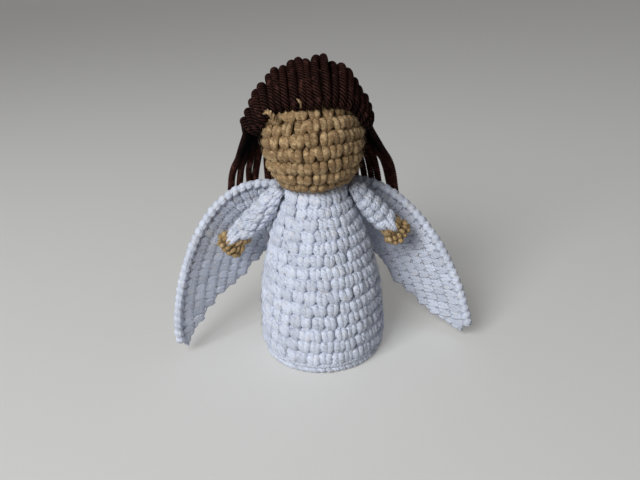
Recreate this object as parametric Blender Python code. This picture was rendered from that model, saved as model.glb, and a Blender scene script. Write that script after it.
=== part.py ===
"""A crocheted angel doll: a stuffed gown and head, yarn hair, sewn arms and sewn wings.

Units are metres and +Z is up. The doll faces -Y, so its left side is at +X.
The origin is the middle of the base disc, on the surface that the doll stands on.
"""

import math

import bmesh
import bpy
from mathutils import Vector

MM = 0.001

# Crocheted fabric, the gaps between pieces, and the groove between rounds of stitches
FABRIC = 3.2 * MM
GAP = 0.35 * MM
ROUND_GROOVE = 1.3 * MM
FULL_STRETCH = (0.28, 0.72)

# Gown: a stuffed cone that swells above the floor and draws in to the neck
GOWN_HEIGHT = 69.6 * MM
GOWN_RADIUS = 25.8 * MM
NECK_RADIUS = 11.9 * MM
GOWN_SWELL = 2.6
GOWN_SHOULDER = 1.12
FOOT_TUCK = 1.3 * MM
FOOT_TUCK_HEIGHT = 10.0 * MM
GOWN_ROUNDS = 14
GOWN_STRETCH = 0.17

# Base: a flat disc, the ridge of yarn round it and a stiff disc on top of it
RIDGE_YARN = 3.0 * MM
RIDGE_LIFT = 0.2 * MM
RIDGE_INSET = 0.9 * MM
STIFFENER_THICKNESS = 1.2 * MM

# Head: an egg that rests on the neck opening
HEAD_WIDTH = 38.7 * MM
HEAD_HEIGHT = 42.6 * MM
HEAD_WIDEST = 18.2 * MM
CHIN_RADIUS = 11.0 * MM
HEAD_ROUNDS = 12
HEAD_FRONT_RISE = 4.0 * MM
HEAD_LEFT_RISE = 1.3 * MM
NECK_YARN = 1.2 * MM

# Hair: strands sewn on along the hairline, combed back and left hanging behind the wings
STRAND_YARN = 2.4 * MM
STRAND_GAP = 0.38 * MM
HAIRLINE_HEIGHT = 14.2 * MM
HAIRLINE_DROP = 13.0 * MM
HAIR_FALL = 34.8 * MM
HAIR_UNEVEN = 1.4 * MM
HAIR_SWEEP = 20.0 * MM
HAIR_STANDOFF = 3.0 * MM
HAIR_SIDE_FORWARD = 2.8 * MM
LEFT_HAIR_SPREAD = 34.0 * MM
RIGHT_HAIR_SPREAD = 35.5 * MM
LEFT_HAIR_LOFT = 0.8 * MM
RIGHT_HAIR_LOFT = 4.4 * MM
HAIR_UNEVEN_TURN = 2.4
HAIR_RISE = 0.9 * MM
HAIR_RISE_TURN = 2.2
HAIR_RISE_START = 0.5
HAIRLINE_POWER = 4
LOFT_FADE = 3
LOFT_SOONER = 2
HANGING_SHARE = 0.92
HANGING_SOONER = 3
SPREAD_EASE = 0.6
LEAST_RISE, MOST_RISE = 0.05, 0.9

# Arms: a sleeve and a hand, sewn to the shoulder with a knot of thread
SHOULDER_DROP = 3.6 * MM
SHOULDER_RADIUS = 4.6 * MM
SLEEVE_RADIUS = 5.0 * MM
WRIST_RADIUS = 4.8 * MM
HAND_RADIUS = 6.1 * MM
HAND_LENGTH = 7.4 * MM
LEFT_ARM_LENGTH = 29.0 * MM
RIGHT_ARM_LENGTH = 32.5 * MM
LEFT_ARM_DIRECTION = Vector((0.66, 0.07, -0.75)).normalized()
RIGHT_ARM_DIRECTION = Vector((-0.70, 0.04, -0.71)).normalized()
ARM_FABRIC = 1.8 * MM
THREAD_KNOT = 1.1 * MM
MOUTH_ANGLE = math.radians(35)

# Wings: a panel and a rolled edging, sewn to the back along a straight seam
WING_FABRIC = 3.6 * MM
WING_EDGE_YARN = 4.2 * MM
WING_ROOT_X = 6.5 * MM
WING_SEAM_DROP = 3.6 * MM
WING_SEAM = 15.0 * MM
WING_TIP_X = 61.8 * MM
WING_TIP_Y = -8.5 * MM
WING_TIP_TOP = 9.3 * MM
WING_TIP_BOTTOM = 3.4 * MM
WING_TIP_INSET = 4.0 * MM
WING_CURL = 2.1
WING_SLOPE_FADE = 2.5
WING_STEPS = 3
WING_STEP_DEPTH = 1.6 * MM

# How far each wing's edges head out and up from the seam, then from the tip, before they bend
LEFT_LEAD_OUT = 10.0 * MM
LEFT_LEAD_UP = 9.0 * MM
LEFT_LEAD_TIP_OUT = -8.3 * MM
LEFT_LEAD_TIP_UP = 49.1 * MM
RIGHT_LEAD_OUT = 42.4 * MM
RIGHT_LEAD_UP = 17.4 * MM
RIGHT_LEAD_TIP_OUT = 0.8 * MM
RIGHT_LEAD_TIP_UP = 13.0 * MM
LEFT_TRAIL_OUT = 27.7 * MM
LEFT_TRAIL_UP = -31.9 * MM
LEFT_TRAIL_TIP_OUT = -24.7 * MM
LEFT_TRAIL_TIP_UP = 12.7 * MM
RIGHT_TRAIL_OUT = 18.1 * MM
RIGHT_TRAIL_UP = -25.8 * MM
RIGHT_TRAIL_TIP_OUT = -7.6 * MM
RIGHT_TRAIL_TIP_UP = 23.1 * MM

# Mesh fineness
MERGE = 0.001 * MM
SHARP_EDGE = math.radians(40)
SLOPE_STEP = 0.5 * MM
TANGENT_STEP = 0.01
GOWN_SIDES = 32
GOWN_RINGS = 12
OUTLINE_RINGS = 40
HEAD_SIDES = 28
HEAD_RINGS = 7
INNER_SIDES = 20
RING_SIDES = 28
WIRE_SIDES = 8
ARM_SIDES = 14
ARM_FILL_SIDES = 10
SLEEVE_RINGS = 5
CAP_RINGS = 4
CROWN_POINTS = 8
FALL_POINTS = 6
WING_COLUMNS = 18
WING_ROWS = 4
EDGE_POINTS = 18

# Places and fits that follow from the sizes above
WALL_FOOT = max(FABRIC, RIDGE_LIFT + RIDGE_YARN) + GAP
STIFFENER_FOOT = FABRIC + GAP
STIFFENER_TOP = STIFFENER_FOOT + STIFFENER_THICKNESS
STUFFING_FOOT = STIFFENER_TOP + GAP
HEAD_BASE = GOWN_HEIGHT + NECK_YARN + 2 * GAP
WIDEST_Z = HEAD_BASE + HEAD_WIDEST
CROWN_HEIGHT = HEAD_HEIGHT - HEAD_WIDEST
HAIR_WIDE = HEAD_WIDTH / 2 + GAP + STRAND_YARN / 2
HAIR_TALL = CROWN_HEIGHT + GAP + STRAND_YARN / 2
STRAND_ANGLE = (STRAND_YARN + STRAND_GAP) / HAIR_WIDE
HALF_STRANDS = int(math.pi / 2 / STRAND_ANGLE) - 1
SHOULDER_Z = GOWN_HEIGHT - SHOULDER_DROP
MOUTH_RADIUS = (SHOULDER_RADIUS - ARM_FABRIC) * math.cos(MOUTH_ANGLE)
SHOULDER_SEAT = (SHOULDER_RADIUS - ARM_FABRIC) * math.sin(MOUTH_ANGLE)
SEAM_TOP = GOWN_HEIGHT - WING_SEAM_DROP
SEAM_BOTTOM = SEAM_TOP - WING_SEAM
SEAM_MIDDLE = SEAM_TOP - WING_SEAM / 2
SEAM_RADIUS = WING_FABRIC / 2
WING_START = WING_ROOT_X + SEAM_RADIUS + GAP

# The reaches above as pairs of (x, z) steps for each wing
LEFT_LEAD = (
    Vector((LEFT_LEAD_OUT, LEFT_LEAD_UP)),
    Vector((LEFT_LEAD_TIP_OUT, LEFT_LEAD_TIP_UP)),
)
RIGHT_LEAD = (
    Vector((RIGHT_LEAD_OUT, RIGHT_LEAD_UP)),
    Vector((RIGHT_LEAD_TIP_OUT, RIGHT_LEAD_TIP_UP)),
)
LEFT_TRAIL = (
    Vector((LEFT_TRAIL_OUT, LEFT_TRAIL_UP)),
    Vector((LEFT_TRAIL_TIP_OUT, LEFT_TRAIL_TIP_UP)),
)
RIGHT_TRAIL = (
    Vector((RIGHT_TRAIL_OUT, RIGHT_TRAIL_UP)),
    Vector((RIGHT_TRAIL_TIP_OUT, RIGHT_TRAIL_TIP_UP)),
)

SIDES = {"left": 1, "right": -1}


def clear_scene():
    """Remove every object that the scene starts with."""
    for thing in list(bpy.data.objects):
        bpy.data.objects.remove(thing, do_unlink=True)


def finish(name, colour, roughness):
    """A material with one colour and roughness."""
    made = bpy.data.materials.new(name)
    made.use_nodes = True
    shader = made.node_tree.nodes["Principled BSDF"]
    shader.inputs["Base Color"].default_value = (*colour, 1.0)
    shader.inputs["Roughness"].default_value = roughness
    shader.inputs["Metallic"].default_value = 0.0
    made.diffuse_color = (*colour, 1.0)
    return made


def make_finishes():
    """The finishes of the doll, by name."""
    return {
        "white_yarn": finish("white_yarn", (0.80, 0.79, 0.82), 0.90),
        "tan_yarn": finish("tan_yarn", (0.43, 0.30, 0.14), 0.90),
        "gold_tan_yarn": finish("gold_tan_yarn", (0.36, 0.21, 0.07), 0.90),
        "brown_yarn": finish("brown_yarn", (0.030, 0.011, 0.008), 0.75),
        "fibre_fill": finish("fibre_fill", (0.85, 0.85, 0.83), 0.95),
        "stiff_sheet": finish("stiff_sheet", (0.75, 0.74, 0.70), 0.50),
    }


def add_object(name, data, material):
    """Put a mesh or a curve into the scene as a named object with one material."""
    data.materials.append(material)
    made = bpy.data.objects.new(name, data)
    bpy.context.scene.collection.objects.link(made)
    return made


def mesh_object(name, shape, material):
    """Turn a bmesh into a smooth-shaded object."""
    bmesh.ops.recalc_face_normals(shape, faces=shape.faces)
    mesh = bpy.data.meshes.new(name)
    shape.to_mesh(mesh)
    shape.free()
    mesh.shade_smooth()
    mesh.set_sharp_from_angle(angle=SHARP_EDGE)
    return add_object(name, mesh, material)


def join_up(shape, points, closed):
    """Join points in order with edges, and the last to the first if closed."""
    pairs = list(zip(points, points[1:]))
    if closed:
        pairs.append((points[-1], points[0]))
    return [shape.edges.new(pair) for pair in pairs]


def spin_round(shape, geometry, sides):
    """Spin a profile about Z and close its seam."""
    bmesh.ops.spin(
        shape,
        geom=geometry,
        cent=(0.0, 0.0, 0.0),
        axis=(0.0, 0.0, 1.0),
        angle=math.tau,
        steps=sides,
        use_merge=True,
    )
    bmesh.ops.remove_doubles(shape, verts=shape.verts, dist=MERGE)


def turned(name, profile, sides, material, closed=False):
    """Spin a profile of (radius, height) points about Z into one closed solid."""
    shape = bmesh.new()
    points = [shape.verts.new((radius, 0.0, height)) for radius, height in profile]
    spin_round(shape, points + join_up(shape, points, closed), sides)
    return mesh_object(name, shape, material)


class Outline:
    """A line of (radius, height) points, measured along its length from the foot up."""

    def __init__(self, points):
        """Measure the line."""
        self.points = [Vector(point) for point in points]
        self.marks = [0.0]
        for last, point in zip(self.points, self.points[1:]):
            self.marks.append(self.marks[-1] + (point - last).length)
        self.length = self.marks[-1]

    def at(self, along, depth=0.0):
        """The point at a distance along the line, moved in by depth."""
        along = min(max(along, 0.0), self.length)
        ahead = next(index for index, mark in enumerate(self.marks) if mark >= along)
        ahead = max(ahead, 1)
        last, point = self.points[ahead - 1], self.points[ahead]
        heading = (point - last).normalized()
        place = last + heading * (along - self.marks[ahead - 1])
        return place + Vector((-heading.y, heading.x)) * depth


def round_grooves(rounds, stretch):
    """(share of the way up, depth) pairs that give a wall of crochet rounds its grooves.

    stretch makes the lower rounds taller and the upper ones shorter.
    """
    wall = []
    for step in range(rounds):
        wall.append((step / rounds, ROUND_GROOVE if step else 0.0))
        for share in FULL_STRETCH:
            wall.append(((step + share) / rounds, 0.0))
    wall.append((1.0, 0.0))
    return [(share * (1 + stretch * (1 - share)), depth) for share, depth in wall]


def worked_shell(outline, inner, grooves, sides, closed=False, front_rise=0.0, left_rise=0.0):
    """A shell that is smooth inside and has the ridges of crochet rounds outside.

    inner runs from the top of outline to its foot. The rounds climb by front_rise at the front
    and by left_rise at the doll's left.
    """
    shape = bmesh.new()
    share_of = shape.verts.layers.float.new("share")
    depth_of = shape.verts.layers.float.new("depth")
    profile = [shape.verts.new((radius, 0.0, height)) for radius, height in inner]
    for share, depth in grooves:
        place = outline.at(share * outline.length)
        vert = shape.verts.new((place.x, 0.0, place.y))
        vert[share_of] = share
        vert[depth_of] = depth
        profile.append(vert)
    spin_round(shape, profile + join_up(shape, profile, closed), sides)

    for vert in shape.verts:
        share = vert[share_of]
        if 0 < share < 1:
            turn = math.atan2(vert.co.x, -vert.co.y)
            rise = front_rise * math.cos(turn) + left_rise * math.sin(turn)
            along = share * outline.length + rise * math.sin(math.pi * share)
            place = outline.at(along, vert[depth_of])
            vert.co = (place.x * math.sin(turn), -place.x * math.cos(turn), place.y)
    return shape


def wire_ring(name, radius, height, wire, material, sides=RING_SIDES):
    """A ring of yarn about Z."""
    profile = []
    for step in range(WIRE_SIDES):
        angle = math.tau * step / WIRE_SIDES
        profile.append((radius + wire * math.cos(angle), height + wire * math.sin(angle)))
    return turned(name, profile, sides, material, closed=True)


def yarn(name, points, radius, material, radii=None):
    """A length of yarn along points, with closed ends."""
    data = bpy.data.curves.new(name, "CURVE")
    data.dimensions = "3D"
    data.bevel_depth = radius
    data.bevel_resolution = 2
    data.use_fill_caps = True
    line = data.splines.new("POLY")
    line.points.add(len(points) - 1)
    for index, point in enumerate(points):
        line.points[index].co = (*point, 1.0)
        line.points[index].radius = radii[index] if radii else 1.0
    return add_object(name, data, material)


def bezier(start, first, second, end, share):
    """A point on a cubic curve through the (x, z) plane."""
    rest = 1 - share
    near = start * rest**3 + first * (3 * rest**2 * share)
    return near + second * (3 * rest * share**2) + end * share**3


def disc_line(radius, foot, top):
    """(radius, height) points round half the section of a flat disc."""
    return [(0.0, foot), (radius, foot), (radius, top), (0.0, top)]


def gown_radius(height):
    """Outer radius of the gown at a height."""
    share = min(max(height / GOWN_HEIGHT, 0.0), 1.0)
    swell = (1 - share**GOWN_SWELL) ** GOWN_SHOULDER
    tuck = FOOT_TUCK * max(0.0, 1 - height / FOOT_TUCK_HEIGHT) ** 2
    return NECK_RADIUS + (GOWN_RADIUS - NECK_RADIUS) * swell - tuck


def gown_slope(height):
    """Change of the gown's radius with height."""
    rise = gown_radius(height + SLOPE_STEP) - gown_radius(height - SLOPE_STEP)
    return rise / (2 * SLOPE_STEP)


def gown_line(inset, foot, top, rings=GOWN_RINGS):
    """(radius, height) points up the gown's wall, moved in by inset."""
    points = []
    for ring in range(rings + 1):
        height = foot + (top - foot) * ring / rings
        points.append((gown_radius(height) - inset, height))
    return points


def head_point(angle, grow=0.0):
    """(radius, height) on the head's outline; angle runs from the chin at -90 to the crown at 90."""
    wide = HEAD_WIDTH / 2 + grow
    if angle >= 0:
        return wide * math.cos(angle), WIDEST_Z + (CROWN_HEIGHT + grow) * math.sin(angle)
    chin = CHIN_RADIUS + grow
    return chin + (wide - chin) * math.cos(angle), WIDEST_Z + HEAD_WIDEST * math.sin(angle)


def head_line(grow=0.0, foot=HEAD_BASE, rings=HEAD_RINGS):
    """(radius, height) points from the crown down to the chin, moved out by grow."""
    points = []
    for ring in range(2 * rings + 1):
        radius, height = head_point(math.pi / 2 * (1 - ring / rings), grow)
        points.append((max(radius, 0.0), max(height, foot)))
    points[0] = (0.0, points[0][1])
    return points


def make_gown(finishes):
    """The gown's wall, its base and what is inside."""
    white = finishes["white_yarn"]
    outer = Outline(gown_line(0.0, WALL_FOOT, GOWN_HEIGHT, OUTLINE_RINGS))
    inner = gown_line(FABRIC, WALL_FOOT, GOWN_HEIGHT)[::-1]
    grooves = round_grooves(GOWN_ROUNDS, GOWN_STRETCH)
    mesh_object("gown_shell", worked_shell(outer, inner, grooves, GOWN_SIDES, closed=True), white)

    wire = RIDGE_YARN / 2
    ridge = gown_radius(WALL_FOOT) - RIDGE_INSET - wire
    wire_ring("base_ridge", ridge, RIDGE_LIFT + wire, wire, white, GOWN_SIDES)
    turned("gown_base", disc_line(ridge - wire - GAP, 0.0, FABRIC), GOWN_SIDES, white)

    inside = min(gown_radius(WALL_FOOT), gown_radius(STIFFENER_TOP)) - FABRIC - GAP
    stiffener = disc_line(inside, STIFFENER_FOOT, STIFFENER_TOP)
    turned("base_stiffener", stiffener, INNER_SIDES, finishes["stiff_sheet"])

    fill = gown_line(FABRIC + GAP, STUFFING_FOOT, GOWN_HEIGHT)
    fill = [(0.0, STUFFING_FOOT)] + fill + [(0.0, GOWN_HEIGHT)]
    turned("gown_stuffing", fill, INNER_SIDES, finishes["fibre_fill"])


def make_head(finishes):
    """The head, its stuffing and the yarn that sews it on."""
    outer = Outline(head_line(rings=OUTLINE_RINGS)[::-1])
    inner = head_line(-FABRIC)
    grooves = round_grooves(HEAD_ROUNDS, 0.0)
    rises = {"front_rise": HEAD_FRONT_RISE, "left_rise": HEAD_LEFT_RISE}
    shell = worked_shell(outer, inner, grooves, HEAD_SIDES, **rises)
    mesh_object("head_shell", shell, finishes["tan_yarn"])
    fill = head_line(-FABRIC - GAP, HEAD_BASE + GAP)
    turned("head_stuffing", fill + [(0.0, HEAD_BASE + GAP)], INNER_SIDES, finishes["fibre_fill"])
    wire = NECK_YARN / 2
    radius = min(NECK_RADIUS, CHIN_RADIUS) - wire
    wire_ring("neck_seam", radius, GOWN_HEIGHT + GAP + wire, wire, finishes["white_yarn"])


def strand_line(place):
    """Points and thickness shares of a strand from the hairline to its hanging end.

    place counts strands from the middle of the head, towards the doll's left.
    """
    side = place / HALF_STRANDS
    polar = math.pi / 2 + place * STRAND_ANGLE
    across, round_ = -math.cos(polar), math.sin(polar)
    rise = (HAIRLINE_HEIGHT - HAIRLINE_DROP * across**HAIRLINE_POWER) / (HAIR_TALL * round_)
    start = math.asin(min(max(rise, LEAST_RISE), MOST_RISE))
    loft = (LEFT_HAIR_LOFT if side > 0 else -RIGHT_HAIR_LOFT) * abs(across) ** LOFT_FADE
    uneven = math.sin(HAIR_RISE_TURN * place + HAIR_RISE_START) ** 2
    arch = HAIR_RISE * uneven * round_**2 / HAIR_TALL
    points, radii = [], []
    for step in range(CROWN_POINTS + 1):
        along = step / CROWN_POINTS
        turn = start + (math.pi - start) * along
        bulge = loft * math.sin(math.pi / 2 * min(1.0, LOFT_SOONER * along))
        ring = round_ * (1 + arch * math.sin(math.pi * along))
        deep, high = HAIR_WIDE * ring * math.cos(turn), HAIR_TALL * ring * math.sin(turn)
        points.append((HAIR_WIDE * across + bulge, -deep, WIDEST_Z + high))
        radii.append(1.0)

    top = points[-1]
    hinge, up = wing_hinge(1)
    end_z = WIDEST_Z - HAIR_FALL + HAIR_UNEVEN * math.sin(HAIR_UNEVEN_TURN * place)
    wing_back = hinge.y + up.y * (WIDEST_Z - HAIR_FALL - hinge.z) + WING_FABRIC / 2
    end = (
        side * (LEFT_HAIR_SPREAD if side > 0 else RIGHT_HAIR_SPREAD),
        wing_back + STRAND_YARN / 2 + HAIR_STANDOFF - HAIR_SIDE_FORWARD * side**2,
        end_z,
    )
    for step in range(1, FALL_POINTS + 1):
        along = step / FALL_POINTS
        fallen = along * (WIDEST_Z - end_z)
        sweep = min(1.0, fallen / HAIR_SWEEP)
        spread = SPREAD_EASE * sweep + (1 - SPREAD_EASE) * along
        shares = (spread, sweep, along)
        points.append(tuple(top[k] + (end[k] - top[k]) * shares[k] for k in range(3)))
        radii.append(1 + (HANGING_SHARE - 1) * min(1.0, HANGING_SOONER * along))
    return points, radii


def make_hair(finishes):
    """The strands of hair, numbered from the doll's right to its left."""
    for place in range(-HALF_STRANDS, HALF_STRANDS + 1):
        points, radii = strand_line(place)
        name = f"hair_strand_{place + HALF_STRANDS + 1:02d}"
        yarn(name, points, STRAND_YARN / 2, finishes["brown_yarn"], radii)


def shoulder_frame(side):
    """The gown's outward normal at a shoulder and the middle of the arm's rounded top."""
    slope = gown_slope(SHOULDER_Z)
    normal = Vector((side, 0.0, -slope)).normalized()
    skin = Vector((side * gown_radius(SHOULDER_Z), 0.0, SHOULDER_Z))
    return normal, skin, skin + normal * (GAP + SHOULDER_SEAT)


def sleeve_line(wrist, inset):
    """(radius, distance) points of the sleeve from its round top to the wrist, moved in by inset."""
    top = SHOULDER_RADIUS - inset
    points = []
    for step in range(CAP_RINGS):
        angle = math.pi / 2 * step / CAP_RINGS
        points.append((top * math.sin(angle), -top * math.cos(angle)))
    middle = (SHOULDER_RADIUS + WRIST_RADIUS) / 2
    for step in range(SLEEVE_RINGS + 1):
        share = step / SLEEVE_RINGS
        straight = SHOULDER_RADIUS + (WRIST_RADIUS - SHOULDER_RADIUS) * share
        swell = (SLEEVE_RADIUS - middle) * 4 * share * (1 - share)
        points.append((straight + swell - inset, wrist * share))
    return points


def hand_line(wrist, inset):
    """(radius, distance) points of the hand from the wrist to its tip, moved in by inset."""
    half = HAND_LENGTH / 2
    points = []
    for step in range(CAP_RINGS):
        share = step / CAP_RINGS
        swell = (HAND_RADIUS - WRIST_RADIUS) * math.sin(math.pi / 2 * share)
        points.append((WRIST_RADIUS + swell - inset, wrist + GAP + (half - GAP) * share))
    for step in range(CAP_RINGS + 1):
        angle = math.pi / 2 * step / CAP_RINGS
        reach = (half - inset) * math.sin(angle)
        points.append(((HAND_RADIUS - inset) * math.cos(angle), wrist + half + reach))
    points[-1] = (0.0, points[-1][1])
    return points


def gown_block(name, side, lift):
    """A hidden block that fills the gown's side of the shoulder, up to lift above its skin."""
    normal, skin, _ = shoulder_frame(side)
    shape = bmesh.new()
    reach = max(LEFT_ARM_LENGTH, RIGHT_ARM_LENGTH) + SHOULDER_RADIUS
    bmesh.ops.create_cube(shape, size=2 * reach)
    bmesh.ops.translate(shape, verts=shape.verts, vec=(0.0, 0.0, -reach))
    mesh = bpy.data.meshes.new(name)
    shape.to_mesh(mesh)
    shape.free()
    block = bpy.data.objects.new(name, mesh)
    bpy.context.scene.collection.objects.link(block)
    block.location = skin + normal * lift
    block.rotation_euler = normal.to_track_quat("Z", "Y").to_euler()
    block.hide_render = True
    block.display_type = "WIRE"
    return block


def cut_by(piece, block):
    """Take a block away from a piece."""
    cut = piece.modifiers.new("shoulder_cut", "BOOLEAN")
    cut.operation = "DIFFERENCE"
    cut.object = block


def make_arm(name, finishes):
    """One arm, turned along its own axis and cut flat where it lies on the gown."""
    side = SIDES[name]
    normal, skin, centre = shoulder_frame(side)
    length = LEFT_ARM_LENGTH if name == "left" else RIGHT_ARM_LENGTH
    direction = LEFT_ARM_DIRECTION if name == "left" else RIGHT_ARM_DIRECTION
    wrist = length - HAND_LENGTH
    turn = direction.to_track_quat("Z", "Y").to_euler()
    skin_block = gown_block(f"{name}_shoulder_block", side, GAP)
    fill_block = gown_block(f"{name}_thread_block", side, THREAD_KNOT + 2 * GAP)

    outer = sleeve_line(wrist, 0.0)
    inner = sleeve_line(wrist, ARM_FABRIC)
    sleeve = turned(f"{name}_sleeve", outer + inner[::-1], ARM_SIDES, finishes["white_yarn"])
    skin_line = hand_line(wrist, 0.0)
    pocket = hand_line(wrist, ARM_FABRIC)
    hand = turned(f"{name}_hand", skin_line[::-1] + pocket, ARM_SIDES, finishes["gold_tan_yarn"])
    inset = ARM_FABRIC + GAP
    core = sleeve_line(wrist, inset) + hand_line(wrist, inset)
    filling = turned(f"{name}_arm_stuffing", core, ARM_FILL_SIDES, finishes["fibre_fill"])
    for piece in (sleeve, hand, filling):
        piece.location = centre
        piece.rotation_euler = turn
    cut_by(sleeve, skin_block)
    cut_by(filling, fill_block)

    knot_line = disc_line(MOUTH_RADIUS - 2 * GAP, 0.0, THREAD_KNOT)
    knot = turned(f"{name}_arm_thread", knot_line, ARM_SIDES, finishes["white_yarn"])
    knot.location = skin + normal * GAP
    knot.rotation_euler = normal.to_track_quat("Z", "Y").to_euler()


def wing_hinge(side):
    """The middle of a wing's seam and the direction up along it."""
    radius = gown_radius(SEAM_MIDDLE)
    back = math.sqrt(radius**2 - WING_ROOT_X**2)
    rise = gown_slope(SEAM_MIDDLE) * radius / back
    lean = math.sqrt(1 + rise**2 + (WING_ROOT_X / back) ** 2)
    middle = Vector((side * WING_ROOT_X, back + (SEAM_RADIUS + GAP) * lean, SEAM_MIDDLE))
    return middle, Vector((0.0, rise, 1.0))


def wing_point(side, flat):
    """The point of the wing's middle surface over flat, an (x, z) place seen from the front."""
    hinge, up = wing_hinge(side)
    share = (flat.x - WING_ROOT_X) / (WING_TIP_X - WING_ROOT_X)
    curl = (WING_TIP_Y - hinge.y) * share**WING_CURL
    slope = up.y * (flat.y - hinge.z) * max(0.0, 1 - share) ** WING_SLOPE_FADE
    return Vector((side * flat.x, hinge.y + curl + slope, flat.y))


def lead_point(name, share, inset):
    """A point on the wing's leading edge, moved in by inset; share runs from root to tip."""
    from_root, from_tip = LEFT_LEAD if name == "left" else RIGHT_LEAD
    root = Vector((WING_START, SEAM_TOP))
    tip = Vector((WING_TIP_X, WING_TIP_TOP))
    curve = (root, root + from_root, tip + from_tip, tip)
    ahead, behind = min(share + TANGENT_STEP, 1.0), max(share - TANGENT_STEP, 0.0)
    along = (bezier(*curve, ahead) - bezier(*curve, behind)).normalized()
    inward = Vector((along.y, -along.x))
    place = bezier(*curve, share) + inward * inset
    return Vector((max(place.x, WING_START), place.y))


def trail_point(name, share):
    """A point on the wing's stepped trailing edge; share runs from root to tip."""
    from_root, from_tip = LEFT_TRAIL if name == "left" else RIGHT_TRAIL
    root = Vector((WING_START, SEAM_BOTTOM))
    tip = Vector((WING_TIP_X - WING_TIP_INSET, WING_TIP_BOTTOM))
    place = bezier(root, root + from_root, tip + from_tip, tip, share)
    wave = math.sin(math.pi * WING_STEPS * share) ** 2 * math.sin(math.pi * share)
    return place - Vector((0.0, WING_STEP_DEPTH * wave))


def make_wing(name, finishes):
    """One wing: its panel, the rolled edging along its front and the seam that it turns on."""
    side = SIDES[name]
    hinge, up = wing_hinge(side)
    edge = WING_EDGE_YARN / 2
    shape = bmesh.new()
    bmesh.ops.create_grid(shape, x_segments=WING_COLUMNS, y_segments=WING_ROWS, size=1.0)
    for vert in shape.verts:
        along, over = (vert.co.x + 1) / 2, (vert.co.y + 1) / 2
        low = trail_point(name, along)
        high = lead_point(name, along, WING_EDGE_YARN + GAP)
        vert.co = wing_point(side, low + (high - low) * over) - hinge
    panel = mesh_object(f"{name}_wing_panel", shape, finishes["white_yarn"])
    panel.location = hinge
    thick = panel.modifiers.new("fabric", "SOLIDIFY")
    thick.thickness = WING_FABRIC
    thick.offset = 0.0
    thick.use_even_offset = True

    points = []
    for step in range(EDGE_POINTS + 1):
        points.append(wing_point(side, lead_point(name, step / EDGE_POINTS, edge)) - hinge)
    edging = yarn(f"{name}_wing_edging", points, edge, finishes["white_yarn"])
    edging.location = hinge

    half = up * (WING_SEAM / 2)
    seam = yarn(f"{name}_wing_seam", [-half, half], SEAM_RADIUS, finishes["white_yarn"])
    seam.location = hinge


def main():
    """Build the doll."""
    clear_scene()
    finishes = make_finishes()
    make_gown(finishes)
    make_head(finishes)
    make_hair(finishes)
    for name in SIDES:
        make_arm(name, finishes)
        make_wing(name, finishes)


main()
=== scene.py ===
"""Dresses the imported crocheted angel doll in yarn, stitch by stitch, and sets it on a pale floor."""

import logging
import math
import random
from collections.abc import Callable, Sequence
from dataclasses import dataclass, field
from enum import Enum

import bmesh
import bpy
import numpy as np
from mathutils import Matrix, Vector


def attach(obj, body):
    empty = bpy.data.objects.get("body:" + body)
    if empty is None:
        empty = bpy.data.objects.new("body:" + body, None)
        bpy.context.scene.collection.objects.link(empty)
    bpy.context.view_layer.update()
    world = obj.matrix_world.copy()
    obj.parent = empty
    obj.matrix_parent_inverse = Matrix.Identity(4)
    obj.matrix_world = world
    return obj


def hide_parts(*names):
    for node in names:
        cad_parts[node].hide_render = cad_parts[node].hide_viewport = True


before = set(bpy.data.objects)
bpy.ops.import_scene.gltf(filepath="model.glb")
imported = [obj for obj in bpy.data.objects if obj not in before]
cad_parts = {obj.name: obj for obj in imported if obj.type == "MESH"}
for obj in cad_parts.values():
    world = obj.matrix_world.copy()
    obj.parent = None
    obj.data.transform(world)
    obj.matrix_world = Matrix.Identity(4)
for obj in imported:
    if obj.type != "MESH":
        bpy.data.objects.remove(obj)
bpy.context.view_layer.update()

LOG = logging.getLogger("angel_doll")
MM = 0.001
CM = 0.01
TAU = math.tau
Colour = tuple[float, float, float]
Knots = Sequence[tuple[float, float, float, float]]

GAP = 0.35 * MM
CELL = 5.0 * MM
RUN_ON = 3 * CELL
UV_NAME = "yarn"
# Point attribute of random loop tones, which also holds painted shade on linings, cores and hair sides
# and painted light on hanging hair
TONE_AND_LIGHT_NAME = "tone_and_painted_light"
MERGE = 0.0005 * MM
TINY = 1e-12
SEED = 20
CURVE_STEPS = 24
ODD_WAY = (0.31, 0.17, 0.93)
LIT_HEIGHT = 0.75
# Painted shade: tone taken off the linings, sheets and cores that lie under the stitches
LINING_PAINTED_SHADE = -1.0
YARN_SWELL = 0.06
WRAP_SHIFT = 0.2 * MM
WRAP_START = 0.4
FILL_SIDES = 24
FILL_LUMP = 0.03
FILL_EASE = 0.4
HAIR_PLIES = 6

# Yarn of one stitch on a cell of 5 by 5 mm: (across, up, out, radius) in millimetres
LEG: Knots = (
    (-0.20, -0.80, -2.10, 0.75),
    (-0.38, 0.35, -0.95, 1.20),
    (-0.68, 1.50, -0.35, 1.50),
    (-1.05, 2.90, 0.34, 1.86),
    (-1.22, 3.95, 0.02, 1.78),
    (-1.28, 4.85, -1.60, 1.05),
)
PLUMP_LEG: Knots = (
    (-0.35, -0.70, -2.00, 0.70),
    (-0.55, 0.35, -0.65, 1.08),
    (-0.88, 1.60, 0.15, 1.32),
    (-1.20, 3.00, 0.55, 1.46),
    (-1.30, 4.00, 0.05, 1.34),
    (-1.34, 4.85, -1.60, 0.75),
)
TONGUE: Knots = (
    (-0.25, -3.30, -0.90, 0.80),
    (-0.50, -2.10, 0.65, 1.15),
    (-0.95, 0.00, 0.95, 1.45),
    (-1.35, 2.60, 0.70, 1.45),
    (-1.60, 4.25, -0.20, 1.14),
    (-1.70, 5.10, -1.40, 0.62),
)
FIBRE: Knots = (
    (0.0, 0.0, 0.0, 0.05),
    (0.0, 0.4, 0.0, 0.06),
    (0.0, 0.75, 0.0, 0.05),
    (0.0, 1.0, 0.0, 0.02),
)
BEAD_MIDDLE = Vector((0.0, 2.45, 0.2)) * MM
BEAD_RADII = Vector((2.1, 2.3, 2.2)) * MM
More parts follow.
